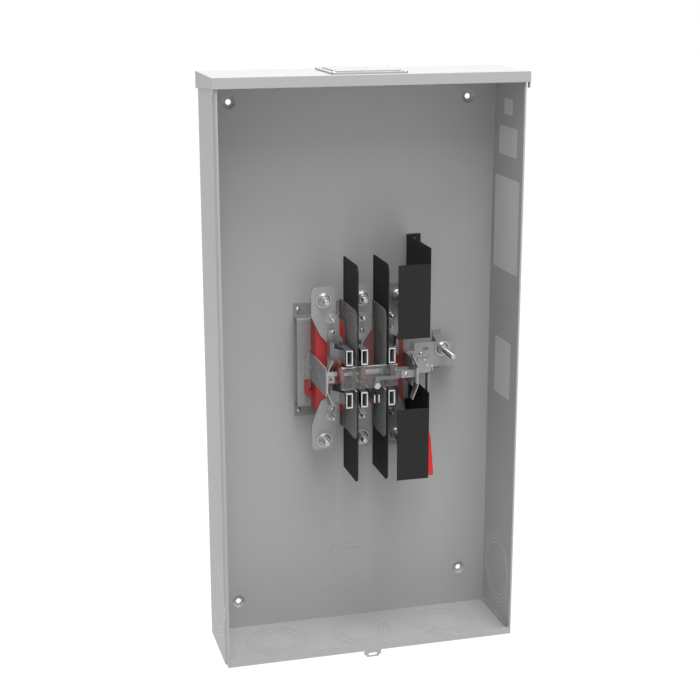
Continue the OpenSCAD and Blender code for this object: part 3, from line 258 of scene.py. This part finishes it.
def pale_side_rings(paint):
    """1 along the sheared rings of the side knockouts, where the colour turns pale in patches."""
    x, y, z = (paint.place.part(axis) for axis in "XYZ")
    wall = x.math("ABSOLUTE", x).above(box_high.x - 2 * MM, 0.2 * MM)
    along = y - depth(SIDE_KO_DEPTH)
    up = z - (box_low.z + SIDE_KO_Z * MM)
    radius = x.math("SQRT", along * along + up * up)
    patchy = 0.35 + paint.noise(30, 2) * 1.1
    return (ring_lines(radius, SIDE_KO_RADII) * wall * patchy).clamped()


def powder_paint(name, shade, peel=0.00003):
    paint = Finish(name)
    cloud = paint.noise(5, 4)
    grain = paint.noise(2600, 2)
    passes = paint.noise(7, 2, paint.stretched(1.6, 1.6, 0.4))
    dull, pale = greys(shade * 0.97, shade * 1.05, (0.995, 1.0, 0.998))
    colour = paint.mix(cloud * 0.4 + grain * 0.3 + passes * 0.3, dull, pale)
    colour = paint.mix(pale_side_rings(paint), colour, SIDE_RING_PALE)
    # Painted light: the back knockout's grooves are lightened to cancel their shade.
    colour = paint.mix(painted_groove_light(paint), colour, GROOVE_LIGHT_PAINT)
    peel_height = paint.noise(620, 2) + paint.noise(1500, 1) * 0.35
    return paint.surface(
        base_color=colour,
        roughness=0.40 + cloud * 0.12 + grain * 0.06,
        normal=paint.relief(peel_height, peel),
        ior=1.46,
    )


enclosure_paint = powder_paint("enclosure_paint", 0.42)
print("paint:", enclosure_paint.name)

# %% [markdown]
# ## Galvanised sheet
# The pan, the brackets, the strap and the lever's arm are cut from hot-dip galvanised sheet. The
# zinc freezes in flat crystals, the spangle, a few millimetres across, each catching the light
# its own way. A picture of spangle could be projected, but a Voronoi pattern is the same
# thing by nature: cells that grew from seeds until they met. Each cell's random value sets its
# shade and gloss, and a slow stain greys the whole. The strap across the jaws gets a darker copy
# of the same finish, a painted shade, so only its upward edge catches the light.

# %% Galvanised sheet
def galvanised(name, shade):
    metal = Finish(name)
    crystal = metal.cells(260).part("X")
    stain = metal.noise(14, 4)
    dark, light = greys(shade * 0.86, shade * 1.12, (0.99, 1.0, 1.0))
    colour = metal.mix(crystal * 0.6 + stain * 0.4, dark, light)
    return metal.surface(
        base_color=colour,
        metallic=0.35,
        roughness=0.46 + crystal * 0.12 + stain * 0.10,
        normal=metal.relief(crystal * 0.4 + metal.noise(900, 2), 0.00002, 0.0003),
    )


galvanised_steel = galvanised("galvanised_steel", 0.31)
# A darker copy of the galvanised finish: painted shade on the strap.
strap_steel_painted_shade = galvanised("strap_steel_painted_shade", 0.17)
print("sheet:", galvanised_steel.name)

# %% [markdown]
# ## Zinc plated hardware
# Studs, nuts, washers and screws are bright zinc plated: shiny, faintly blue, with a milky
# bloom. The springs are plain drawn wire, a little darker. One recipe gives both.

# %% Plating
def plated(name, shade, gloss, bloom=0.5):
    metal = Finish(name)
    mist = metal.noise(60, 4)
    speck = metal.noise(1500, 2)
    dark, light = greys(shade * 0.84, shade * 1.08, (0.985, 0.995, 1.01))
    return metal.surface(
        base_color=metal.mix(mist * bloom + speck * (1 - bloom), dark, light),
        metallic=0.9,
        roughness=gloss + mist * 0.14 + speck * 0.05,
        normal=metal.relief(speck, 0.000015, 0.0003),
    )


zinc_steel = plated("zinc_steel", 0.50, 0.30)
spring_steel = plated("spring_steel", 0.42, 0.32)
print("plating:", zinc_steel.name, spring_steel.name)

# %% [markdown]
# ## Tin plated bus bars
# Bus bars are rolled bar, tin plated to keep their joints from corroding. Tin goes on matte and
# dulls to the grey of the wall behind it, and the rolling lines of the bar show through along
# its length. The lines are noise squeezed along one axis: long in Z, half a millimetre across.

# %% Tin plate
def tinned(name, shade, along=(1, 1, 0.03)):
    metal = Finish(name)
    lines = metal.noise(900, 2, metal.stretched(*along))
    smudge = metal.noise(40, 5)
    dark, light = greys(shade * 0.88, shade * 1.10, (1.0, 1.005, 0.99))
    colour = metal.mix(lines * 0.35 + smudge * 0.65, dark, light)
    return metal.surface(
        base_color=colour,
        metallic=0.5,
        roughness=0.34 + smudge * 0.16 + lines * 0.06,
        normal=metal.relief(lines, 0.00001, 0.0003),
    )


tinned_bus = tinned("tinned_bus", 0.34)
print("tin:", tinned_bus.name)

# %% [markdown]
# ## Jaws
# A jaw is bent from sheet that has been used: the body has gone blue-grey. Its lips, the
# foremost three millimetres, carry a painted highlight, and a soft step in depth carries the
# colour from the dark body to the bright painted lip.

# %% Jaws with a painted highlight on their lips
def jaw_metal(name):
    metal = Finish(name)
    lines = metal.noise(1000, 2, metal.stretched(1, 0.05, 1))
    smudge = metal.noise(70, 5)
    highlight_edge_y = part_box("line_jaw_a")[0].y + 2.6 * MM
    # Painted highlight: the foremost three millimetres of each jaw are made bright.
    lip_highlight = (highlight_edge_y - metal.place.part("Y")).above(0.0, 0.7 * MM)
    dark, light = greys(0.26, 0.38, (0.94, 1.0, 1.06))
    body = metal.mix(smudge * 0.7 + lines * 0.3, dark, light)
    colour = metal.mix(lip_highlight, body, (0.70, 0.71, 0.71))
    return metal.surface(
        base_color=colour,
        metallic=0.75 - lip_highlight * 0.35,
        roughness=0.30 + smudge * 0.16 - lip_highlight * 0.06,
        normal=metal.relief(lines, 0.00001, 0.0003),
    )


tinned_jaw = jaw_metal("tinned_jaw")
print("jaws:", tinned_jaw.name)

# %% [markdown]
# ## Bypass bridges
# Each bridge is a black moulded carrier with a copper strip along its back face, which closes
# onto the two bus bars. CAD has them as one solid, because nothing parts them. The strip is told
# apart by depth: it is the few millimetres nearest the bars. Bare copper browns where nothing
# rubs it, so a slow noise carries it from salmon to brown.

# %% Copper strip in a black carrier
STRIP_FRONT = 71.2


def bridge_finish(name):
    metal = Finish(name)
    brown = metal.noise(120, 4)
    lines = metal.noise(1100, 2, metal.stretched(1, 1, 0.05))
    strip = metal.place.part("Y").above(depth(STRIP_FRONT), 0.2 * MM)
    copper = metal.mix(brown, (0.62, 0.34, 0.22), (0.42, 0.21, 0.12))
    carrier = metal.mix(brown, (0.016, 0.016, 0.018), (0.030, 0.030, 0.032))
    return metal.surface(
        base_color=metal.mix(strip, carrier, copper),
        metallic=strip * 0.9,
        roughness=0.46 + brown * 0.16 - strip * 0.12,
        normal=metal.relief(lines, 0.00001, 0.0003),
    )


bridge_copper = bridge_finish("bridge_copper")
print("bridges:", bridge_copper.name)

# %% [markdown]
# ## Red mouldings
# The bases are compression moulded from glass-filled polyester. The glass shows as faint pale
# flecks and the flow of the moulding as cloudy patches. The lever's grip is plain nylon, brighter
# and glossier. The middle and right bases lie behind the clear shields. Their colour, most of all
# on the middle base, is turned darker and browner, and so is that of the ribs that stick up
# beyond the bases and of the cams in front of them. The places are steps in X and Z, so that one
# finish covers all three bases.

# %% Moulded plastic
DARK_BROWN_RED = (0.160, 0.110, 0.100)


def moulded(name, deep, bright, gloss, fleck, darken=None):
    plastic = Finish(name)
    flow = plastic.noise(45, 4)
    fibre = plastic.noise(1400, 2).above(0.62, 0.08)
    colour = plastic.mix(flow, deep, bright)
    colour = plastic.mix(fibre * fleck, colour, tuple(0.4 + 0.6 * v for v in bright))
    if darken:
        colour = plastic.mix(darken(plastic), colour, DARK_BROWN_RED)
    return plastic.surface(
        base_color=colour,
        roughness=gloss + flow * 0.12 + fibre * 0.10,
        normal=plastic.relief(plastic.noise(800, 2), 0.00003, 0.0005),
        ior=1.5,
    )


def darker_brown_mask(plastic):
    """1 where the red is turned darker and browner: the ribs beyond the bases, the middle base,
    the cams.
    """
    x, z = plastic.place.part("X"), plastic.place.part("Z")
    base_top, base_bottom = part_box("base_c")[1].z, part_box("base_c")[0].z
    ribs = z.above(base_top - 10 * MM, 12 * MM) + (base_bottom + 4 * MM - z).above(0.0, 12 * MM)
    middle = x.above(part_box("base_b")[0].x - 6 * MM, 3 * MM)
    right = x.above(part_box("base_c")[0].x, 6 * MM)
    patch = 0.55 + plastic.noise(60, 3) * 0.5
    cams = (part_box("base_a")[0].y - plastic.place.part("Y")).above(MM, 2 * MM) * 0.6
    return (ribs * 0.85 + middle * patch - right * 0.40 + cams).clamped()


red_base = moulded("red_base", (0.36, 0.018, 0.018), (0.52, 0.03, 0.028), 0.40, 0.10, darker_brown_mask)
red_lever = moulded("red_lever", (0.62, 0.006, 0.005), (0.72, 0.010, 0.008), 0.26, 0.02)
print("red:", red_base.name, red_lever.name)

# %% [markdown]
# ## Black fibre sheet
# The barriers are vulcanised fibre: paper soaked and pressed until it is horn. It is nearly
# black, with long pale fibres just under the skin and a dull, slightly greasy sheen.

# %% Fibre sheet
def fibre_sheet(name, shade):
    sheet = Finish(name)
    hairs = sheet.noise(700, 3, sheet.stretched(1, 1, 0.12)).above(0.58, 0.15)
    cloud = sheet.noise(30, 3)
    colour = sheet.mix(cloud * 0.5 + hairs * 0.35, *greys(shade, shade * 1.7))
    return sheet.surface(
        base_color=colour,
        roughness=0.56 + cloud * 0.14,
        normal=sheet.relief(hairs + sheet.noise(1300, 2), 0.00003, 0.0003),
        ior=1.33,
    )


black_fibre = fibre_sheet("black_fibre", 0.012)
print("fibre:", black_fibre.name)

# %% [markdown]
# ## Clear shields
# The wings and the centre shield are thin polycarbonate. Clear sheet shows most where it is seen
# edge on, so its alpha rises with the angle: the Layer Weight node gives that. Fine scuffs and a
# slow haze keep it from looking like nothing at all. A painted highlight, pale and less clear,
# runs along the top and bottom edges of the centre shield's front.

# %% Clear sheet
def clear_plastic(name):
    sheet = Finish(name)
    haze = sheet.noise(24, 4)
    scuff = sheet.noise(900, 3, sheet.stretched(1, 1, 0.08)).above(0.60, 0.10)
    grazing = sheet.node("ShaderNodeLayerWeight", {}, {"Blend": 0.35})["Facing"]
    low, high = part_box("center_shield")
    rise = sheet.place.part("Z") - (low.z + high.z) / 2
    # rim: a painted highlight along the top and bottom edges of the centre shield's front.
    rim = rise.math("ABSOLUTE", rise).above((high.z - low.z) / 2 - 0.9 * MM, 0.3 * MM)
    ahead = (low.y + 7 * MM - sheet.place.part("Y")).above(0.0, 0.5 * MM)
    rim = rim * ahead * (1 - rise.math("ABSOLUTE", rise).above((high.z - low.z) / 2 + 1 * MM, MM))
    colour = sheet.mix(haze, (0.48, 0.51, 0.50), (0.60, 0.63, 0.62))
    colour = sheet.mix(rim, colour, (0.85, 0.87, 0.86))
    return sheet.surface(
        base_color=colour,
        roughness=0.10 + haze * 0.10 + scuff * 0.20,
        alpha=(0.06 + grazing * 0.30 + haze * 0.06 + scuff * 0.03 + rim * 0.4).clamped(),
        normal=sheet.relief(scuff, 0.00001, 0.0003),
        ior=1.45,
    )


clear_sheet = clear_plastic("clear_sheet")
print("clear:", clear_sheet.name)

# %% [markdown]
# ## Gasket rubber
# A grey foam gasket seals the hub opening. It shows only as a thin line under the plate, with
# the open pores of foam as small dark pits.

# %% Foam rubber
def foam_rubber(name):
    rubber = Finish(name)
    pores = rubber.cells(900, "Distance")
    colour = rubber.mix(pores, (0.30, 0.30, 0.30), (0.40, 0.40, 0.39))
    bumps = rubber.relief(pores, 0.0002, 0.0002)
    return rubber.surface(base_color=colour, roughness=0.75 + pores * 0.15, normal=bumps)


gasket_rubber = foam_rubber("gasket_rubber")

# %% Give every CAD piece the finish of its slot
finishes = {
    "enclosure_paint": enclosure_paint,
    "galvanised_steel": galvanised_steel,
    "zinc_steel": zinc_steel,
    "spring_steel": spring_steel,
    "tinned_bus": tinned_bus,
    "tinned_jaw": tinned_jaw,
    "bridge_copper": bridge_copper,
    "red_base": red_base,
    "red_lever": red_lever,
    "black_fibre": black_fibre,
    "clear_sheet": clear_sheet,
    "gasket_rubber": gasket_rubber,
}
slots = {subpart["node"]: subpart["material_slot"] for subpart in record["subparts"]}


def dress(piece, finish):
    piece.data.materials.clear()
    piece.data.materials.append(finish)


for name, slot in slots.items():
    dress(nodes[name], finishes[slot])
dress(nodes["shield_strap"], strap_steel_painted_shade)
print(len(slots), "pieces dressed in", len(finishes), "finishes")

# %% [markdown]
# ## Making new pieces
# A few pieces need detail that the CAD leaves to this script. Each is a mesh built from plain
# lists of points and faces, given the slot whose finish it wears, and made to ride on a body.
# Where it stands for a CAD piece, that one is hidden. One function does all of it, so that no
# piece is forgotten.

# %% One way to add a piece
def mesh_piece(name, vertices, faces, smooth=False):
    mesh = bpy.data.meshes.new(name)
    mesh.from_pydata([tuple(v) for v in vertices], [], faces)
    mesh.update()
    if smooth:
        mesh.shade_smooth()
        mesh.set_sharp_from_angle(angle=math.radians(40))
    made = bpy.data.objects.new(name, mesh)
    bpy.context.scene.collection.objects.link(made)
    return made


def add_piece(piece, slot, body="enclosure", instead_of=(), finish=None):
    dress(piece, finish or finishes[slot])
    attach(piece, body)
    if instead_of:
        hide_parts(*instead_of)
    return piece


def loose_parts(node):
    """The separate solids of a CAD piece, each as a list of its points."""
    work = bmesh.new()
    work.from_mesh(nodes[node].data)
    bmesh.ops.remove_doubles(work, verts=work.verts, dist=1e-6)
    left, parts = set(work.verts), []
    for first in work.verts:
        if first not in left:
            continue
        left.discard(first)
        grown, edge = [first], [first]
        while edge:
            near = {e.other_vert(v) for v in edge for e in v.link_edges} & left
            left -= near
            edge = sorted(near, key=lambda v: v.index)
            grown += edge
        parts.append([v.co.copy() for v in grown])
    work.free()
    return parts


def corners(points):
    """Lowest and highest corner of some points."""
    return (
        Vector([min(p[k] for p in points) for k in range(3)]),
        Vector([max(p[k] for p in points) for k in range(3)]),
    )


print("studs found:", len(loose_parts("terminal_studs")))

# %% [markdown]
# ## Threads
# CAD makes a stud as a smooth rod, because a thread would only weigh the model down, and draws
# it slimmer under the nut than a real one. On the real stud the thread is rolled: a ridge that
# climbs one pitch for each turn. A bump could fake it, but a stud stands out against the wall
# and its outline would stay smooth. So the rod is made again, at its full width all along, from
# rings of points whose distance from the axis is a wave in depth, shifted by one pitch around
# each ring, and that is a helix. The tip is chamfered, and the hexagonal head is kept.

# %% Threaded rods with hexagonal heads
COARSE = 1.5875 * MM
FINE = 1.27 * MM


def ring(x, y, z, radius, sides, turn=0.0):
    angles = [math.tau * (k + turn) / sides for k in range(sides)]
    return [(x + radius(a) * math.cos(a), y, z + radius(a) * math.sin(a)) for a in angles]


def skin(rows, sides, start):
    """Faces that join rings of points into one closed body."""
    faces = [tuple(range(start, start + sides))]
    for row in range(rows - 1):
        low, high = start + row * sides, start + (row + 1) * sides
        for k in range(sides):
            n = (k + 1) % sides
            faces.append((low + k, high + k, high + n, low + n))
    faces.append(tuple(reversed(range(start + (rows - 1) * sides, start + rows * sides))))
    return faces


def threaded_rods(name, node, pitch, cut):
    sides, per_pitch = 24, 6
    vertices, faces = [], []
    for points in loose_parts(node):
        low, high = corners(points)
        x, z = (low.x + high.x) / 2, (low.z + high.z) / 2
        reach = {p.y: 0.0 for p in points}
        for p in points:
            reach[p.y] = max(reach[p.y], math.hypot(p.x - x, p.z - z))
        widest = max(reach.values())
        head_y = min(y for y, r in reach.items() if r > 0.95 * widest)
        outer = max(r for y, r in reach.items() if y < head_y - 1 * MM)
        corner_up = (high.z - low.z) > (high.x - low.x)
        head = [ring(x, y, z, lambda a: widest, 6, 0.5 if corner_up else 0.0)
                for y in (head_y, high.y)]
        faces += skin(2, 6, len(vertices))
        vertices += head[0] + head[1]
        rows = int((head_y - low.y) / pitch * per_pitch) + 1
        faces += skin(rows, sides, len(vertices))
        for row in range(rows):
            y = low.y + (head_y - low.y) * row / (rows - 1)

            def radius(angle):
                wave = abs(2 * ((y / pitch + angle / math.tau) % 1.0) - 1)
                return min(outer - cut * (1 - wave), outer - 0.9 * MM + (y - low.y))

            vertices += ring(x, y, z, radius, sides)
    return mesh_piece(name, vertices, faces, smooth=True)


studs = threaded_rods("threaded_studs", "terminal_studs", COARSE, 0.75 * MM)
add_piece(studs, slots["terminal_studs"], instead_of=("terminal_studs",))
bolts = threaded_rods("threaded_bolts", "bus_bolts", FINE, 0.6 * MM)
add_piece(bolts, slots["bus_bolts"], instead_of=("bus_bolts",))
print("threads:", len(studs.data.vertices), "and", len(bolts.data.vertices), "points")

# %% [markdown]
# ## Cross recesses
# Every screw head has a cross for the driver. A recess is a missing shape, so the natural way is
# to cut it: a tapered cross is sunk into each head with a Boolean, and the cut copy replaces the
# CAD screws. Where a screw points is read from its own shape. It runs along the axis across
# which it is round, and its head is at the end where it is widest.

# %% Where a screw points
def screw_head(points):
    """Tip of the head, the way out of it, and its diameter."""
    low, high = corners(points)
    size, middle = high - low, (low + high) / 2
    axis = min(range(3), key=lambda k: abs(size[(k + 1) % 3] - size[(k + 2) % 3]))
    across = [(axis + 1) % 3, (axis + 2) % 3]
    reach = [math.hypot(*(p[k] - middle[k] for k in across)) for p in points]
    rim = [p[axis] for p, r in zip(points, reach) if r > 0.95 * max(reach)]
    outward = 1 if sum(rim) / len(rim) > middle[axis] else -1
    tip, way = middle.copy(), Vector((0, 0, 0))
    tip[axis] = high[axis] if outward > 0 else low[axis]
    way[axis] = outward
    return tip, way, size[across[0]]


def cross_cutter(tip, way, width):
    """A cross-shaped plug that narrows inwards, with points and faces."""
    side = way.orthogonal().normalized()
    up = way.cross(side)
    long, thin, deep = 0.31 * width, 0.065 * width, 0.15 * width
    outline = []
    for quarter in range(4):
        a, b = (side, up, -side, -up)[quarter], (up, -side, -up, side)[quarter]
        outline += [a * long - b * thin, a * long + b * thin, a * thin + b * thin]
    top = [tip + way * MM + p for p in outline]
    bottom = [tip - way * deep + p * 0.55 for p in outline]
    count = len(outline)
    faces = [tuple(range(count)), tuple(reversed(range(count, 2 * count)))]
    faces += [(k, k + count, (k + 1) % count + count, (k + 1) % count) for k in range(count)]
    return top + bottom, faces


# %% Cut the recesses
def recessed(name, node, keep_plain=lambda way, width: False):
    vertices, faces = [], []
    for points in loose_parts(node):
        tip, way, width = screw_head(points)
        if keep_plain(way, width):
            continue
        new, rims = cross_cutter(tip, way, width)
        faces += [tuple(k + len(vertices) for k in rim) for rim in rims]
        vertices += new
    cutter = mesh_piece(name + "_cutter", vertices, faces)
    work = bmesh.new()
    work.from_mesh(cutter.data)
    bmesh.ops.recalc_face_normals(work, faces=work.faces)
    work.to_mesh(cutter.data)
    work.clear()
    work.from_mesh(nodes[node].data)
    bmesh.ops.remove_doubles(work, verts=work.verts, dist=1e-6)
    solid = bpy.data.meshes.new(name)
    work.to_mesh(solid)
    work.free()
    screws = bpy.data.objects.new(name, solid)
    bpy.context.scene.collection.objects.link(screws)
    cut = screws.modifiers.new("cut", "BOOLEAN")
    cut.operation, cut.solver, cut.object = "DIFFERENCE", "EXACT", cutter
    bpy.context.view_layer.update()
    done = screws.evaluated_get(bpy.context.evaluated_depsgraph_get())
    result = bpy.data.meshes.new_from_object(done)
    screws.modifiers.clear()
    screws.data = result
    bpy.data.objects.remove(cutter)
    return screws


def small_rivet(way, width):
    return abs(way.x) > 0.5 and width < 6.5 * MM


for node, plain in (
    ("panel_screws", lambda way, width: False),
    ("base_screws", lambda way, width: False),
    ("hub_screws", lambda way, width: False),
    ("support_screws", small_rivet),
):
    screws = recessed("recessed_" + node, node, plain)
    add_piece(screws, slots[node], instead_of=(node,))
    print(screws.name, len(screws.data.polygons), "faces")

# %% [markdown]
# ## Return springs
# The CAD springs are coils of six-sided wire. Real ones are round wire, so each is swept again:
# a small circle of points carried along the same helix. A spring is the one soft thing here: on
# the real part it is pressed flat as its bridge moves in. Each spring gets a mesh of its own.

# %% Round wire coils
COIL_TURNS, WIRE_RADIUS = 4.5, 0.5 * MM


def coil(name, low, high):
    middle = (low + high) / 2
    radius = (high.x - low.x) / 2 - WIRE_RADIUS
    steps, around = int(COIL_TURNS * 32), 10
    rise = (high.y - low.y - 2 * WIRE_RADIUS) / steps
    vertices = []
    for step in range(steps + 1):
        angle = math.tau * step / 32
        y = high.y - WIRE_RADIUS - rise * step
        for k in range(around):
            tilt = math.tau * k / around
            out = radius + WIRE_RADIUS * math.cos(tilt)
            vertices.append((
                middle.x + out * math.cos(angle),
                y + WIRE_RADIUS * math.sin(tilt),
                middle.z + out * math.sin(angle),
            ))
    return mesh_piece(name, vertices, skin(steps + 1, around, 0), smooth=True)


coils = sorted((corners(part) for part in loose_parts("bridge_springs")), key=lambda c: c[0].x)
for phase, (low, high) in zip("abc", coils):
    spring = coil("return_spring_" + phase, low, high)
    add_piece(spring, slots["bridge_springs"], instead_of=("bridge_springs",))
    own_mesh(spring)

# %% [markdown]
# ## Blank labels
# Four labels are stuck to the inside of the right wall. They stay blank here, so that whoever
# uses the part can print their own. A label is a die-cut sheet of vinyl with rounded corners,
# an eighth of a millimetre thick, and a hair of adhesive shows as its edge catches the light.

# %% Labels on the right wall
def vinyl_finish():
    vinyl = Finish("label_vinyl")
    mottle = vinyl.noise(35, 3)
    weave = vinyl.noise(1800, 2)
    return vinyl.surface(
        base_color=vinyl.mix(mottle * 0.6 + weave * 0.4, *greys(0.60, 0.70, (1.0, 1.0, 0.985))),
        roughness=0.34 + mottle * 0.16,
        normal=vinyl.relief(mottle + weave * 0.2, 0.00004, 0.0002),
        ior=1.46,
    )


LABEL_THICK, LABEL_CORNER = 0.13 * MM, 2.5 * MM
LABELS = {
    "label_small": (47, 83, 854, 879),
    "label_upper": (28, 105, 790, 835),
    "label_tall": (15, 120, 605, 755),
    "label_lower": (33, 102, 395, 490),
}
label_vinyl = vinyl_finish()
wall_x = box_high.x - SHEET


def label(name, back, front, low, high):
    outline = []
    for cy, cz, start in (
        (back, low, 180), (front, low, 270), (front, high, 0), (back, high, 90),
    ):
        y_in = LABEL_CORNER / MM * (1 if cy == back else -1)
        z_in = LABEL_CORNER / MM * (1 if cz == low else -1)
        for k in range(7):
            angle = math.radians(start + 15 * k)
            along = cy + y_in + LABEL_CORNER / MM * math.cos(angle)
            up = cz + z_in + LABEL_CORNER / MM * math.sin(angle)
            outline.append((depth(along), box_low.z + up * MM))
    count = len(outline)
    stuck = [(wall_x, y, z) for y, z in outline]
    face = [(wall_x - LABEL_THICK, y, z) for y, z in outline]
    faces = [tuple(reversed(range(count))), tuple(range(count, 2 * count))]
    faces += [(k, (k + 1) % count, (k + 1) % count + count, k + count) for k in range(count)]
    return mesh_piece(name, stuck + face, faces)


for name, place in LABELS.items():
    add_piece(label(name, *place), "enclosure_paint", finish=label_vinyl)
print(len(LABELS), "labels on the wall at x =", round(wall_x, 4))

# %% [markdown]
# ## Camera
# The picture is taken from the left and a little above, with a longish lens, so the tall box
# narrows only slightly. The camera is set by where it stands and which way it looks: turned
# right by 15.2 degrees and tipped down by 15.

# %% Camera
camera = bpy.data.objects.new("camera", bpy.data.cameras.new("camera"))
bpy.context.scene.collection.objects.link(camera)
bpy.context.scene.camera = camera
camera.location = (-0.6193, -2.2767, 0.2227)
camera.rotation_euler = (math.radians(90 - 14.97), 0, math.radians(-15.22))
camera.data.sensor_width = 36
camera.data.lens = 76.58
camera.data.clip_end = 50
print("camera stands", round((camera.location - (cad_low + cad_high) / 2).length, 2), "m away")

# %% [markdown]
# ## Sky
# The world fills every shadow a little. It is brighter overhead than at the horizon, as in a
# room with a white ceiling, so the top of the box comes out lighter than its front. Where the
# camera, a mirror or clear sheet looks at it, it is plain white instead: the Light Path node
# tells these rays apart.

# %% World
SKY_LOW, SKY_HIGH = 0.38, 0.80
world = bpy.data.worlds.new("studio")
bpy.context.scene.world = world
sky = Finish("studio", world)


def sky_light(strength):
    return sky.node("ShaderNodeBackground", {}, {"Color": (1, 1, 1, 1), "Strength": strength})


def sky_mix(factor, first, second):
    sockets = {0: factor, 1: first["Background"], 2: second}
    return sky.node("ShaderNodeMixShader", {}, sockets)["Shader"]


def seen_directly(tree):
    """1 for rays from the camera, from a mirror and through clear sheet."""
    path = tree.node("ShaderNodeLightPath")
    return (path["Is Camera Ray"] + path["Is Transmission Ray"] + path["Is Glossy Ray"]).clamped()


overhead = sky.node("ShaderNodeTexCoord")["Generated"].part("Z").above(0.0, 1.0)
lighting = sky_mix(overhead, sky_light(SKY_LOW), sky_light(SKY_HIGH)["Background"])
white = sky_light(1.0)["Background"]
whole = sky.node("ShaderNodeMixShader", {}, {0: seen_directly(sky), 1: lighting, 2: white})
sky.node("ShaderNodeOutputWorld", {}, {"Surface": whole["Shader"]})
print("sky lights from", SKY_LOW, "to", SKY_HIGH)

# %% [markdown]
# ## Floor
# A wall box hangs at eye height, so the floor lies well below it. To the camera most of its
# brightness is its own, which keeps it as white as the sky, and the rest is lit, which keeps
# the box's soft shadow.

# %% Floor
FLOOR_DROP, FLOOR_REACH, OWN_LIGHT = 1.2, 30, 0.80


def floor_finish():
    floor = Finish("studio_floor")
    shade = floor.noise(2, 3)
    colour = floor.mix(shade, (0.86, 0.86, 0.86), (0.90, 0.90, 0.90))
    lit = floor.node("ShaderNodeBsdfDiffuse", {}, {"Color": colour})["BSDF"]
    glow = floor.node("ShaderNodeEmission", {}, {"Color": (1, 1, 1, 1), "Strength": 1.15})
    share = seen_directly(floor) * OWN_LIGHT
    both = floor.node("ShaderNodeMixShader", {}, {0: share, 1: lit, 2: glow["Emission"]})
    floor.node("ShaderNodeOutputMaterial", {}, {"Surface": both["Shader"]})
    return floor.material


floor_z = cad_low.z - FLOOR_DROP
square = [(-1, -1), (1, -1), (1, 1), (-1, 1)]
floor_corners = [(x * FLOOR_REACH, y * FLOOR_REACH, floor_z) for x, y in square]
floor = mesh_piece("studio_floor", floor_corners, [(0, 1, 2, 3)])
dress(floor, floor_finish())
print("floor", FLOOR_DROP, "m below the box")

# %% [markdown]
# ## Lamps
# Four soft lamps shape the box. The key stands high in front, so the hood shades the top of the
# back panel and light pools at the bottom. Two overhead brighten the hood, and one of them the
# bottom end too. The last stands to the left and a little behind the front edge, where it lights
# the outside of the left wall but can't reach the inside of the right one.

# %% Lamps
def lamp(name, place, size, watts):
    made = bpy.data.objects.new(name, bpy.data.lights.new(name, "AREA"))
    bpy.context.scene.collection.objects.link(made)
    made.data.shape, made.data.size, made.data.energy = "SQUARE", size, watts
    made.location = middle_of_box + Vector(place)
    made.rotation_euler = (-Vector(place)).to_track_quat("-Z", "Y").to_euler()
    return made


middle_of_box = (cad_low + cad_high) / 2
lamps = [
    lamp("key", (-0.3, -3.5, 4.0), 2.2, 59),
    lamp("ceiling", (0.2, -1.1, 3.3), 1.5, 82),
    lamp("over", (0.1, 0.9, 2.8), 1.2, 34),
    lamp("side", (-2.6, 0.75, 0.1), 1.4, 8),
]
print("lamps:", [made.name for made in lamps])

# %% [markdown]
# ## Look of the picture
# The view transform is plain, so that white stays white.

# %% Look of the picture
bpy.context.scene.view_settings.view_transform = "Standard"
